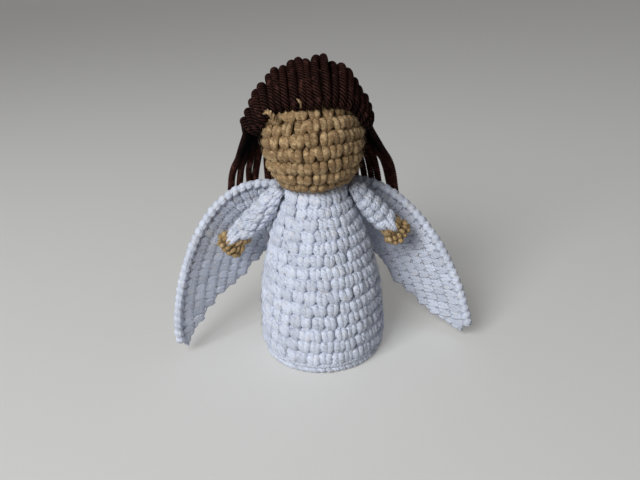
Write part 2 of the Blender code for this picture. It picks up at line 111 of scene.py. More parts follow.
WRAP: Knots = (
    (1.60, 0.55, -1.35, 0.75),
    (0.95, 0.62, -0.55, 1.30),
    (0.25, 0.48, 0.25, 1.48),
    (0.00, 0.00, 0.66, 1.52),
    (0.25, -0.48, 0.25, 1.48),
    (0.95, -0.62, -0.55, 1.30),
    (1.60, -0.55, -1.35, 0.75),
)
GRAIN: Knots = (
    (-2.05, -0.75, -0.55, 0.55),
    (-1.10, -0.45, 0.20, 1.10),
    (0.00, 0.00, 0.42, 1.24),
    (1.10, 0.45, 0.20, 1.10),
    (2.05, 0.75, -0.55, 0.55),
)


class Side(Enum):
    """The doll's own left and right, as the sign of X."""

    LEFT = 1
    RIGHT = -1

    @property
    def label(self) -> str:
        """The side's word in node and piece names."""
        return self.name.lower()


class Body(Enum):
    """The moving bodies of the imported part."""

    DOLL = "doll"
    LEFT_ARM = "left_arm"
    RIGHT_ARM = "right_arm"
    LEFT_WING = "left_wing"
    RIGHT_WING = "right_wing"


class Nodes:
    """Adds shader nodes to one material and wires them together."""

    def __init__(self, name: str) -> None:
        """Start a material that holds a Principled shader.

        Args:
            name: Name of the material.
        """
        self.material = bpy.data.materials.new(name)
        self.material.use_nodes = True
        self.tree = self.material.node_tree
        self.shader = self.tree.nodes["Principled BSDF"]

    def add(self, kind: str, inputs: dict | None = None, **settings: object) -> bpy.types.Node:
        """Add a node.

        Args:
            kind: Blender's name of the node type.
            inputs: Sockets by name or number, each with a value or a socket to link from.
            settings: Properties of the node.

        Returns:
            The new node.
        """
        node = self.tree.nodes.new(kind)
        for key, value in settings.items():
            setattr(node, key, value)
        self.feed(node, inputs or {})
        return node

    def feed(self, node: bpy.types.Node, inputs: dict) -> None:
        """Set or link a node's inputs.

        Args:
            node: The node.
            inputs: Sockets by name or number, each with a value or a socket to link from.
        """
        for key, value in inputs.items():
            if isinstance(value, bpy.types.NodeSocket):
                self.tree.links.new(value, node.inputs[key])
            else:
                node.inputs[key].default_value = value

    def math(self, operation: str, *values: object) -> bpy.types.NodeSocket:
        """Add a Math node and return its result."""
        return self.add("ShaderNodeMath", dict(enumerate(values)), operation=operation).outputs[0]

    def mix(self, share: object, first: object, second: object) -> bpy.types.NodeSocket:
        """Mix two colours by a share and return the result."""
        inputs = {0: share, 6: first, 7: second}
        return self.add("ShaderNodeMix", inputs, data_type="RGBA").outputs[2]

    def noise(self, place: object, scale: float, detail: float = 2.0) -> bpy.types.NodeSocket:
        """Add a noise pattern and return its value."""
        inputs = {"Vector": place, "Scale": scale, "Detail": detail}
        return self.add("ShaderNodeTexNoise", inputs).outputs["Fac"]


@dataclass(frozen=True)
class YarnFinish:
    """A plied yarn: its colours, how it is spun and how it takes the light."""

    slot: str
    colour: Colour
    # Painted shade: the colour in the valleys between the plies
    hollow: Colour
    fleck: Colour
    sheen_colour: Colour
    fleck_from: float = 0.56
    fleck_blur: float = 0.12
    fleck_share: float = 0.5
    fleck_scale: float = 420.0
    roughness: float = 0.9
    specular: float = 0.25
    sheen: float = 0.35
    sheen_roughness: float = 0.45
    plies: float = 3.0
    turns: float = 8.5
    # crest, ply_share, dash_gain and dash_floor set the painted highlight marks on the ply crests
    crest: float = 1.0
    ply_share: float = 0.3
    ply_depth: float = 0.26 * MM
    dash_gain: float = 1.8
    dash_floor: float = 0.1
    fibres_per_cm: float = 7.0
    fibres_per_ply: float = 2.6
    fibre_detail: float = 3.0
    fibre_share: float = 0.75
    fibre_height: float = 0.5
    lump_scale: float = 1700.0
    lump_height: float = 0.8
    bump_strength: float = 0.9
    # Scale of the tone attribute, which holds random loop tones, painted shade and painted light
    tone_and_light_range: float = 0.12

    def material(self) -> bpy.types.Material:
        """Build the yarn's material.

        Returns:
            A material with ply twist, painted shade in the valleys between plies, painted highlight
            marks on the ply crests, stray fibres, flecks and a change of tone from loop to loop, which
            also carries painted shade and light.
        """
        net = Nodes(self.slot + "_worked")
        strand = net.add("ShaderNodeUVMap", uv_map=UV_NAME).outputs[0]
        place = net.add("ShaderNodeTexCoord").outputs["Object"]
        winding = {0: strand, 1: (self.turns, self.plies, 0.0)}
        phase = net.add("ShaderNodeVectorMath", winding, operation="DOT_PRODUCT").outputs["Value"]
        wave = net.math("COSINE", net.math("MULTIPLY", phase, TAU))
        ply = net.math("POWER", net.math("MULTIPLY_ADD", wave, 0.5, 0.5), self.crest)
        along = net.add("ShaderNodeSeparateXYZ", {0: strand}).outputs["X"]
        lengthwise = net.math("MULTIPLY", along, self.fibres_per_cm)
        crosswise = net.math("MULTIPLY", phase, self.fibres_per_ply)
        fibres = net.add("ShaderNodeCombineXYZ", {0: lengthwise, 1: crosswise}).outputs[0]
        fibre = net.noise(fibres, 1.0, self.fibre_detail)

        # Painted light: bright marks on the ply crests, and painted shade of the hollow colour in the
        # valleys between them
        lit = net.math("MULTIPLY_ADD", fibre, self.dash_gain, self.dash_floor)
        crest_highlights = net.math("MULTIPLY", net.math("MULTIPLY", ply, lit), self.ply_share)
        fibre_and_crest_light = net.math("MULTIPLY_ADD", fibre, self.fibre_share, crest_highlights)
        deep = net.mix(fibre_and_crest_light, (*self.hollow, 1.0), (*self.colour, 1.0))
        cloud = net.noise(place, self.fleck_scale)
        full = self.fleck_from + self.fleck_blur
        limits = {"Value": cloud, 1: self.fleck_from, 2: full, 3: 0.0, 4: self.fleck_share}
        patch = net.add("ShaderNodeMapRange", limits).outputs[0]
        flecked = net.mix(patch, deep, (*self.fleck, 1.0))
        # Tone attribute: random loop tones plus painted shade and painted light
        tone_and_painted_light = net.add("ShaderNodeAttribute", attribute_name=TONE_AND_LIGHT_NAME).outputs["Fac"]
        tone = net.math("MULTIPLY_ADD", tone_and_painted_light, self.tone_and_light_range, 1.0)
        toned = net.add("ShaderNodeHueSaturation", {"Value": tone, "Color": flecked}).outputs[0]

        lumps = net.noise(place, self.lump_scale)
        spun = net.math("MULTIPLY_ADD", fibre, self.fibre_height, ply)
        rise = net.math("MULTIPLY_ADD", lumps, self.lump_height, spun)
        relief = {"Strength": self.bump_strength, "Distance": self.ply_depth, "Height": rise}
        bump = net.add("ShaderNodeBump", relief)
        net.feed(
            net.shader,
            {
                "Base Color": toned,
                "Roughness": self.roughness,
                "Normal": bump.outputs[0],
                "Sheen Weight": self.sheen,
                "Sheen Roughness": self.sheen_roughness,
                "Sheen Tint": (*self.sheen_colour, 1.0),
                "Specular IOR Level": self.specular,
            },
        )
        return net.material


WHITE_YARN = YarnFinish(
    slot="white_yarn",
    colour=(0.86, 0.895, 0.985),
    # Painted shade in the valleys between the plies
    hollow=(0.60, 0.635, 0.775),
    fleck=(0.84, 0.80, 0.79),
    sheen_colour=(0.88, 0.92, 1.0),
    ply_depth=0.17 * MM,
    lump_height=2.0,
    tone_and_light_range=0.1,
)
TAN_YARN = YarnFinish(
    slot="tan_yarn",
    colour=(0.60, 0.38, 0.18),
    # Painted shade in the valleys between the plies
    hollow=(0.045, 0.019, 0.006),
    fleck=(0.80, 0.57, 0.31),
    sheen_colour=(1.0, 0.86, 0.62),
    fleck_from=0.5,
    roughness=0.7,
    specular=0.4,
    sheen=0.15,
    ply_share=0.16,
    ply_depth=0.2 * MM,
    fibre_share=0.88,
    lump_height=2.0,
)
GOLD_TAN_YARN = YarnFinish(
    slot="gold_tan_yarn",
    colour=(0.82, 0.54, 0.24),
    # Painted shade in the valleys between the plies
    hollow=(0.05, 0.018, 0.005),
    fleck=(0.88, 0.70, 0.42),
    sheen_colour=(1.0, 0.82, 0.5),
    roughness=0.6,
    specular=0.4,
    sheen=0.2,
    ply_depth=0.16 * MM,
)
BROWN_YARN = YarnFinish(
    slot="brown_yarn",
    colour=(0.10, 0.034, 0.025),
    # Painted shade in the valleys between the plies, near black
    hollow=(0.0003, 0.0002, 0.0001),
    fleck=(0.11, 0.043, 0.033),
    sheen_colour=(0.55, 0.30, 0.24),
    fleck_share=0.4,
    roughness=0.7,
    specular=0.06,
    sheen=0.0,
    plies=HAIR_PLIES,
    turns=0.0,
    # Painted highlight: narrow glinting marks on the ply crests
    crest=9.0,
    ply_share=0.8,
    ply_depth=0.06 * MM,
    fibre_share=0.06,
    tone_and_light_range=0.16,
)


@dataclass(frozen=True)
class FillFinish:
    """Loose fibre filling."""

    slot: str = "fibre_fill"
    colour: Colour = (0.86, 0.86, 0.84)
    hollow: Colour = (0.66, 0.66, 0.65)
    cloud_scale: float = 350.0
    cloud_detail: float = 5.0
    cloud_depth: float = 0.4 * MM
    bump_strength: float = 0.8
    roughness: float = 0.95
    sheen: float = 0.3

    def material(self) -> bpy.types.Material:
        """Build the filling's material.

        Returns:
            A cloudy white material.
        """
        net = Nodes(self.slot + "_loose")
        place = net.add("ShaderNodeTexCoord").outputs["Object"]
        cloud = net.noise(place, self.cloud_scale, self.cloud_detail)
        relief = {"Strength": self.bump_strength, "Distance": self.cloud_depth, "Height": cloud}
        net.feed(
            net.shader,
            {
                "Base Color": net.mix(cloud, (*self.hollow, 1.0), (*self.colour, 1.0)),
                "Roughness": self.roughness,
                "Normal": net.add("ShaderNodeBump", relief).outputs[0],
                "Sheen Weight": self.sheen,
            },
        )
        return net.material


@dataclass(frozen=True)
class CanvasFinish:
    """The stiff plastic mesh sheet inside the base."""

    slot: str = "stiff_sheet"
    colour: Colour = (0.76, 0.75, 0.71)
    # Painted shade inside the holes
    hollow: Colour = (0.22, 0.22, 0.21)
    mesh: float = 3.6 * MM
    hole_from: float = -0.1
    hole_full: float = 0.25
    hole_depth: float = 0.3 * MM
    bump_strength: float = 0.6
    roughness: float = 0.5

    def material(self) -> bpy.types.Material:
        """Build the sheet's material.

        Returns:
            A plastic material with a square grid of sunk holes, painted dark as shade.
        """
        net = Nodes(self.slot + "_grid")
        place = net.add("ShaderNodeTexCoord").outputs["Object"]
        apart = net.add("ShaderNodeSeparateXYZ", {0: place})
        waves = []
        for axis in range(2):
            turn = net.math("MULTIPLY", apart.outputs[axis], TAU / self.mesh)
            waves.append(net.math("SINE", turn))
        limits = {"Value": net.math("MINIMUM", *waves), 1: self.hole_from, 2: self.hole_full}
        share = net.add("ShaderNodeMapRange", limits).outputs[0]
        relief = {"Strength": self.bump_strength, "Distance": self.hole_depth, "Height": share}
        net.feed(
            net.shader,
            {
                "Base Color": net.mix(share, (*self.colour, 1.0), (*self.hollow, 1.0)),
                "Roughness": self.roughness,
                "Normal": net.add("ShaderNodeBump", relief).outputs[0],
            },
        )
        return net.material


@dataclass
class Wardrobe:
    """The materials of the doll, each made once."""

    made: dict[str, bpy.types.Material] = field(default_factory=dict)

    def get(self, finish: YarnFinish | FillFinish | CanvasFinish) -> bpy.types.Material:
        """Find the material of a finish, or build it on first use.

        Args:
            finish: The finish.

        Returns:
            Its material.
        """
        if finish.slot not in self.made:
            self.made[finish.slot] = finish.material()
        return self.made[finish.slot]


WARDROBE = Wardrobe()


def smooth_line(points: np.ndarray, step: float) -> np.ndarray:
    """Draw a smooth line through points.

    Args:
        points: Rows of coordinates, and of anything else that goes with them.
        step: Distance between the points of the result.

    Returns:
        Rows at even steps on a Catmull-Rom curve through the points.
    """
    padded = np.vstack([2 * points[0] - points[1], points, 2 * points[-1] - points[-2]])
    fine = []
    shares = np.linspace(0.0, 1.0, CURVE_STEPS, endpoint=False)[:, None]
    for k in range(1, len(padded) - 2):
        p0, p1, p2, p3 = padded[k - 1 : k + 3]
        near = 2 * p1 + (p2 - p0) * shares
        bend = (2 * p0 - 5 * p1 + 4 * p2 - p3) * shares**2
        fine.append((near + bend + (3 * p1 - p0 - 3 * p2 + p3) * shares**3) / 2)
    fine.append(points[-1:])
    line = np.vstack(fine)
    marks = arc_marks(line[:, :3])
    even = np.linspace(0.0, marks[-1], max(2, round(marks[-1] / step)) + 1)
    return np.column_stack([np.interp(even, marks, column) for column in line.T])


def arc_marks(line: np.ndarray) -> np.ndarray:
    """Distance from the start of a line to each of its points."""
    steps = np.linalg.norm(np.diff(line, axis=0), axis=1)
    return np.concatenate([[0.0], np.cumsum(steps)])


def unit_rows(rows: np.ndarray) -> np.ndarray:
    """Each row scaled to a length of one."""
    return rows / np.maximum(np.linalg.norm(rows, axis=1), TINY)[:, None]


def carried_frames(line: np.ndarray) -> tuple[np.ndarray, np.ndarray]:
    """Two directions square to a line, carried along it without twisting.

    Args:
        line: Points of the line.

    Returns:
        The two directions at each point.
    """
    heading = unit_rows(np.gradient(line, axis=0))
    first = np.cross(heading[0], ODD_WAY)
    firsts = []
    for along in heading:
        first = first - along * np.dot(first, along)
        first = first / np.linalg.norm(first)
        firsts.append(first)
    firsts = np.array(firsts)
    return firsts, np.cross(heading, firsts)


@dataclass
class PlySection:
    """The outline of a yarn: round, or the lobes of plies that wind round it."""

    sides: int = 6
    plies: int = 0
    pitch: float = 1.0
    start: float = 0.0
    ply_centre: float = 0.54

    def share(self, around: np.ndarray) -> np.ndarray:
        """Find how far out the yarn reaches.

        Args:
            around: Angles round the yarn.

        Returns:
            Share of the full radius at each.
        """
        if not self.plies:
            return np.ones_like(around)
        lobe = TAU / self.plies
        off = (around + lobe / 2) % lobe - lobe / 2
        ply = 1 - self.ply_centre
        inside = np.maximum(ply**2 - (self.ply_centre * np.sin(off)) ** 2, 0.0)
        return self.ply_centre * np.cos(off) + np.sqrt(inside)


def roll_yarn(
    shape: bmesh.types.BMesh, line: np.ndarray, radii: np.ndarray, section: PlySection
) -> None:
    """Roll a flat grid into a closed length of yarn and add it to a shape.

    Args:
        shape: Mesh that takes the yarn; it has a UV layer.
        line: Points along the middle of the yarn.
        radii: Radius at each point.
        section: Outline of the yarn.
    """
    layer = shape.loops.layers.uv[UV_NAME]
    grid = bmesh.ops.create_grid(
        shape, x_segments=len(line) - 1, y_segments=section.sides, size=1.0, calc_uvs=True
    )
    verts = grid["verts"]
    flat = np.array([vert.co for vert in verts])
    ring = np.rint((flat[:, 0] + 1) / 2 * (len(line) - 1)).astype(int)
    around = (flat[:, 1] + 1) / 2 * TAU
    marks = arc_marks(line)
    first, second = carried_frames(line)
    reach = radii[ring] * section.share(around)
    turn = around + section.start + (TAU * marks[ring] / section.pitch if section.plies else 0.0)
    round_ = first[ring] * np.cos(turn)[:, None] + second[ring] * np.sin(turn)[:, None]
    for vert, place in zip(verts, line[ring] + round_ * reach[:, None]):
        vert.co = place
    for vert in verts:
        for loop in vert.link_loops:
            loop[layer].uv.x = marks[-1] / CM * loop[layer].uv.x
    bmesh.ops.remove_doubles(shape, verts=verts, dist=MERGE)
    rims = [edge for edge in shape.edges if edge.is_boundary]
    bmesh.ops.holes_fill(shape, edges=rims, sides=section.sides)


def new_shape() -> bmesh.types.BMesh:
    """Start a shape of yarn.

    Returns:
        An empty mesh with the yarn's UV layer.
    """
    shape = bmesh.new()
    shape.loops.layers.uv.new(UV_NAME)
    return shape


def loop_mesh(name: str, lines: Sequence[Knots], sides: int = 6) -> bpy.types.Mesh:
    """Make the yarn of one stitch as a mesh to copy.

    Args:
        name: Name of the mesh.
        lines: Yarn lines as (across, up, out, radius) in millimetres.
        sides: Sides of the yarn.

    Returns:
        The mesh, in metres on one cell.
    """
    shape = new_shape()
    for knots in lines:
        table = np.array(knots) * MM
        roll_yarn(shape, table[:, :3], table[:, 3], PlySection(sides))
    mesh = bpy.data.meshes.new(name)
    shape.to_mesh(mesh)
    shape.free()
    return mesh


def bead_mesh(name: str, middle: Vector, radii: Vector) -> bpy.types.Mesh:
    """Make a tight round stitch as a mesh to copy.

    Args:
        name: Name of the mesh.
        middle: Its middle on the cell.
        radii: Its half sizes.

    Returns:
        The mesh, in metres on one cell.
    """
    shape = new_shape()
    layer = shape.loops.layers.uv[UV_NAME]
    stand = Matrix.LocRotScale(middle, None, radii)
    bmesh.ops.create_icosphere(shape, subdivisions=2, radius=1.0, matrix=stand)
    for face in shape.faces:
        for loop in face.loops:
            across, up, out = loop.vert.co - middle
            loop[layer].uv = (up / CM, math.atan2(across, out) / TAU)
    mesh = bpy.data.meshes.new(name)
    shape.to_mesh(mesh)
    shape.free()
    return mesh


def mirrored(knots: Knots) -> Knots:
    """The same yarn line on the other side of the cell."""
    return tuple((-across, up, out, radius) for across, up, out, radius in knots)


def mesh_points(mesh: bpy.types.Mesh) -> np.ndarray:
    """Read the points of a mesh.

    Args:
        mesh: The mesh.

    Returns:
        A row of coordinates for each.
    """
    flat = np.empty(len(mesh.vertices) * 3)
    mesh.vertices.foreach_get("co", flat)
    return flat.reshape(-1, 3)


@dataclass
class LoopStock:
    """The few stitch meshes that every piece of crochet is laid from."""

    stitch: bpy.types.Mesh = field(
        default_factory=lambda: loop_mesh("stitch", (LEG, mirrored(LEG)), sides=8)
    )
    tongue: bpy.types.Mesh = field(
        default_factory=lambda: loop_mesh("tongue", (TONGUE, mirrored(TONGUE)))
    )
    plump: bpy.types.Mesh = field(
        default_factory=lambda: loop_mesh("plump", (PLUMP_LEG, mirrored(PLUMP_LEG)), sides=8)
    )
    bead: bpy.types.Mesh = field(
        default_factory=lambda: bead_mesh("bead", BEAD_MIDDLE, BEAD_RADII)
    )
    wrap: bpy.types.Mesh = field(default_factory=lambda: loop_mesh("wrap", (WRAP,), sides=8))
    grain: bpy.types.Mesh = field(default_factory=lambda: loop_mesh("grain", (GRAIN,)))
    fibre: bpy.types.Mesh = field(default_factory=lambda: loop_mesh("fibre", (FIBRE,), sides=3))


LOOPS = LoopStock()


class YarnWork:
    """Yarn loops and linings gathered into one piece."""

    def __init__(self) -> None:
        """Start with nothing worked."""
        self.shape = new_shape()
        self.places: list[np.ndarray] = []
        self.tones_and_painted_light: list[np.ndarray] = []

    def lay(self, mesh: bpy.types.Mesh, places: np.ndarray, tone_and_painted_light: float = 0.0) -> None:
        """Add a copy of a mesh with its points moved.

        Args:
            mesh: The mesh to copy.
            places: Where its points go.
            tone_and_painted_light: Tone of this copy, where 0 is the yarn's own and less is darker.
        """
        # The tone is random for loops, and painted shade for linings and cores under the stitches
        self.shape.from_mesh(mesh)
        self.places.append(places)
        self.tones_and_painted_light.append(np.full(len(places), tone_and_painted_light))

    def shade(self, line: np.ndarray, out: np.ndarray, depth: np.ndarray, lift: np.ndarray) -> None:
        """Paint shade on the sides and underside of the yarn that was added last, and light on its top.

        Args:
            line: Points along its middle.
            out: Direction of its lit side at each point.
            depth: Painted shade taken off at each point of the line, for one radius down.
            lift: Painted light added at each point of the line.
        """
        places = self.places[-1]
        nearest = np.array([np.argmin(np.sum((line - place) ** 2, axis=1)) for place in places])
        apart = unit_rows(places - line[nearest])
        height = np.sum(apart * out[nearest], axis=1)
        self.tones_and_painted_light[-1] = self.tones_and_painted_light[-1] + lift[nearest] - depth[nearest] * (LIT_HEIGHT - height)

    def add_shape(self, shape: bmesh.types.BMesh, tone_and_painted_light: float = 0.0) -> None:
        """Add a finished shape and free it.

        Args:
            shape: The shape, in place.
            tone_and_painted_light: Its tone, as for lay.
        """
        mesh = bpy.data.meshes.new("worked_in")
        shape.to_mesh(mesh)
        shape.free()
        self.lay(mesh, mesh_points(mesh), tone_and_painted_light)

    def add_yarn(
        self, line: np.ndarray, radius: float | np.ndarray, section: PlySection, tone_and_painted_light: float = 0.0
    ) -> None:
        """Add a length of yarn.

        Args:
            line: Points along its middle.
            radius: Its radius, or one for each point.
            section: Its outline.
            tone_and_painted_light: Its tone, as for lay.
        """
        shape = new_shape()
        roll_yarn(shape, line, np.broadcast_to(radius, len(line)), section)
        self.add_shape(shape, tone_and_painted_light)

    def piece(
        self,
        name: str,
        finish: YarnFinish | FillFinish,
        body: Body,
        nodes: Sequence[str],
        press: Callable[[np.ndarray], np.ndarray] | None = None,
    ) -> bpy.types.Object:
        """Make the gathered yarn an object that rides on a body.

        Args:
            name: Name of the piece.
            finish: Its finish.
            body: Body that it rides on.
            nodes: CAD nodes that it stands for.
            press: Moves the points where the piece lies against another.

        Returns:
            The piece.
        """
        places = np.vstack(self.places)
        if press:
            places = press(places)
        for vert, place in zip(self.shape.verts, places):
            vert.co = place
        bmesh.ops.recalc_face_normals(self.shape, faces=self.shape.faces)
        mesh = bpy.data.meshes.new(name)
        self.shape.to_mesh(mesh)
        self.shape.free()
        mesh.shade_smooth()
        tone_and_painted_light = mesh.attributes.new(TONE_AND_LIGHT_NAME, "FLOAT", "POINT")
        tone_and_painted_light.data.foreach_set("value", np.concatenate(self.tones_and_painted_light))
        return place_piece(name, mesh, finish, body, nodes)


def place_piece(
    name: str,
    mesh: bpy.types.Mesh,
    finish: YarnFinish | FillFinish,
    body: Body,
    nodes: Sequence[str],
) -> bpy.types.Object:
    """Put a mesh into the scene as a piece of the doll.

    Args:
        name: Name of the piece.
        mesh: Its mesh, in place.
        finish: Its finish.
        body: Body that it rides on.
        nodes: CAD nodes that it stands for.

    Returns:
        The piece.
    """
    mesh.materials.append(WARDROBE.get(finish))
    piece = bpy.data.objects.new(name, mesh)
    bpy.context.scene.collection.objects.link(piece)
    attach(piece, body.value)
    if nodes:
        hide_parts(*nodes)
    LOG.info("%s: %d faces", name, len(mesh.polygons))
    return piece


class TurnedForm:
    """A stuffed form turned about an axis, with places measured along its outline."""

    def __init__(
        self,
        outline: Sequence[tuple[float, float]],
        place: Matrix | None = None,
        outward: int = 1,
        rises: tuple[float, float] = (0.0, 0.0),
    ) -> None:
        """Measure an outline.

        Args:
            outline: (radius, height) points in the order that the rounds are worked.
            place: Where the form's axis stands.
            outward: 1 where the outside is to the right of the outline's heading, else -1.
            rises: How far the rounds climb at the front and at the +X side of the form.
        """
        line = np.array(outline)
        first, last = line[1] - line[0], line[-1] - line[-2]
        before = line[0] - first / np.linalg.norm(first) * RUN_ON
        after = line[-1] + last / np.linalg.norm(last) * RUN_ON
        self.line = np.vstack([before, line, after])
        self.marks = arc_marks(self.line) - RUN_ON
        self.length = self.marks[-1] - RUN_ON
        heading = unit_rows(np.gradient(self.line, self.marks, axis=0))
        self.normals = np.column_stack([heading[:, 1], -heading[:, 0]]) * outward
        self.front_rise, self.side_rise = rises
        matrix = np.array(place if place is not None else Matrix())
        self.turn, self.shift = matrix[:3, :3], matrix[:3, 3]

    def radius(self, along: float) -> float:
        """Radius at a distance along the outline."""
        return float(np.interp(along, self.marks, self.line[:, 0]))

    def at(self, angle: np.ndarray, along: np.ndarray, out: np.ndarray) -> np.ndarray:
        """Places on the form.

        Args:
            angle: Angles round the axis, from the front towards +X.
            along: Distances along the outline.
            out: Distances out from it.

        Returns:
            A row of coordinates for each.
        """
        middle = np.sin(np.pi * np.clip(along / self.length, 0.0, 1.0))
        rise = self.front_rise * np.cos(angle) + self.side_rise * np.sin(angle)
        along = along + rise * middle
        radius, height = (np.interp(along, self.marks, column) for column in self.line.T)
        side, up = (np.interp(along, self.marks, column) for column in self.normals.T)
        radius = radius + out * side
        local = np.column_stack(
            [radius * np.sin(angle), -radius * np.cos(angle), height + out * up]
        )
        return local @ self.turn.T + self.shift


@dataclass
class Crochet:
    """How rounds of stitches lie on a form."""

    form: TurnedForm
    gauge: float = 5.15 * MM
    stitch_top: float = 1.15 * MM
    flatness: float = 0.62
    fat_most: float = 1.15
    loop: bpy.types.Mesh = LOOPS.stitch
    cord_radius: float = 0.85 * MM
    cord_depth: float = 0.8 * MM
    cord_wave: float = 0.25 * MM
    cord_points: int = 4
    # Painted shade on the cord sunk between rounds
    cord_painted_shade: float = -0.4
    uneven: float = 0.42 * MM
    proud: float = 0.6
    swell: float = 0.13
    lean: float = 0.16
    fibre_reach: float = 2.4 * MM
    fibre_lift: float = 1.1 * MM
    fibre_rises: tuple[float, float] = (0.2, 1.0)
    fibre_curls: tuple[float, float] = (1.2, 2.6)
    fibre_root: float = 0.25 * MM
    fibre_least: float = 3.0 * MM
    seed: int = SEED

    def __post_init__(self) -> None:
        """Start the draw of small differences."""
        self.chance = random.Random(self.seed)

    def count(self, along: float, least: int = 5) -> int:
        """Stitches in a round at a distance along the form."""
        return max(least, round(TAU * self.form.radius(along) / self.gauge))

    def round(
        self,
        work: YarnWork,
        low: float,
        height: float,
        count: int,
        start: float = 0.0,
        tongue: int | None = None,
        corded: bool = True,
    ) -> None:
        """Work one round.

        Args:
            work: Piece that takes the stitches.
            low: Distance along the form where the round starts.
            height: Height of the round.
            count: Stitches in the round.
            start: Angle of its first stitch.
            tongue: Number of the stitch that reaches down into the round below, if any.
            corded: Whether the top loops show as a cord between this round and the next.
        """
        step = TAU / count
        wide = TAU * self.form.radius(low + height / 2) / count
        fat = min(self.fat_most, (wide + height) / 2 / CELL)
        draw = self.chance.uniform
        for place in range(count):
            mesh = LOOPS.tongue if place == tongue else self.loop
            drawn = mesh_points(mesh)
            middle = (start + step * place + math.pi) % TAU - math.pi
            swell = 1 + draw(-1, 1) * self.swell
            lean = draw(-1, 1) * self.lean
            across = drawn[:, 0] * swell + drawn[:, 1] * lean + draw(-1, 1) * self.uneven
            up = drawn[:, 1] + draw(-1, 1) * self.uneven
            out = (drawn[:, 2] * swell * self.flatness - self.stitch_top) * fat
            out = out + draw(-1, self.proud) * self.uneven * self.flatness
            angle = middle + step * across / CELL
            along = low + height * up / CELL
            work.lay(mesh, self.form.at(angle, along, out), draw(-1, 1))
        if corded:
            turns = np.linspace(-math.pi, math.pi, self.cord_points * count + 1)
            wave = np.cos((turns - start) * count) * self.cord_wave
            sunk = wave - self.stitch_top * fat - self.cord_depth
            line = self.form.at(turns, low + height + wave, sunk)
            # The cord is darkened as painted shade in the groove between rounds
            work.add_yarn(line, self.cord_radius * fat, PlySection(sides=6), self.cord_painted_shade)

    def fuzz(self, work: YarnWork, low: float, high: float, count: int) -> None:
        """Let stray fibres stand up from the stitches.

        Args:
            work: Piece that takes them.
            low: Distance along the form where they start.
            high: Distance along the form where they end.
            count: How many there are.
        """
        draw = self.chance.uniform
        drawn = mesh_points(LOOPS.fibre)
        share = drawn[:, 1] / MM
        for _ in range(count):
            foot, turn = draw(low, high), draw(-math.pi, math.pi)
            side, up = draw(-1, 1) * self.fibre_reach, draw(-1, 1) * self.fibre_reach
            radius = max(self.form.radius(foot), self.fibre_least)
            angle = turn + (side * share + drawn[:, 0]) / radius
            lift = draw(*self.fibre_rises) * self.fibre_lift
            rise = lift * np.sin(draw(*self.fibre_curls) * share)
            out = rise + drawn[:, 2] - self.fibre_root
            work.lay(LOOPS.fibre, self.form.at(angle, foot + up * share, out), draw(0, 1))


def spun_shape(profile: Sequence[tuple[float, float]], sides: int, closed: bool) -> bmesh.types.BMesh:
    """Spin a profile about Z.

    Args:
        profile: (radius, height) points.
        sides: Sides of the result.
        closed: Whether the profile's last point joins its first.

    Returns:
        The shape, closed where the profile is or meets the axis.
    """
    shape = new_shape()
    points = [shape.verts.new((radius, 0.0, height)) for radius, height in profile]
    pairs = list(zip(points, points[1:]))
    if closed:
        pairs.append((points[-1], points[0]))
    edges = [shape.edges.new(pair) for pair in pairs]
    bmesh.ops.spin(
        shape,
        geom=points + edges,
        cent=(0.0, 0.0, 0.0),
        axis=(0.0, 0.0, 1.0),
        angle=TAU,
        steps=sides,
        use_merge=True,
    )
    bmesh.ops.remove_doubles(shape, verts=shape.verts, dist=MERGE)
    return shape


def lumpy_fill(
    name: str,
    profile: Sequence[tuple[float, float]],
    body: Body,
    node: str,
    place: Matrix | None = None,
    press: Callable[[np.ndarray], np.ndarray] | None = None,
) -> bpy.types.Object:
    """A lump of fibre filling inside a stuffed piece.

    Args:
        name: Name of the piece.
        profile: (radius, height) points of the space that it fills.
        body: Body that it rides on.
        node: CAD node that it stands for.
        place: Where its axis stands.
        press: Moves the points that lie against another piece.

    Returns:
        The piece.
    """
    shape = spun_shape(profile, FILL_SIDES, closed=False)
    chance = random.Random(SEED)
    for vert in shape.verts:
        vert.co *= 1 - chance.uniform(0.0, FILL_LUMP)
    bmesh.ops.smooth_vert(
        shape,
        verts=shape.verts,
        factor=FILL_EASE,
        use_axis_x=True,
        use_axis_y=True,
        use_axis_z=False,
    )
    if place is not None:
        bmesh.ops.transform(shape, matrix=place, verts=shape.verts)
    work = YarnWork()
    work.add_shape(shape)
    return work.piece(name, FillFinish(), body, [node], press)


def ring_points(radius: float, height: float, turns: np.ndarray) -> np.ndarray:
    """Points on a level ring about Z, from the front towards +X.

    Args:
        radius: Radius of the ring.
        height: Its height.
        turns: Angles of the points.

    Returns:
        A row of coordinates for each.
    """
    return np.column_stack(
        [radius * np.sin(turns), -radius * np.cos(turns), np.full_like(turns, height)]
    )


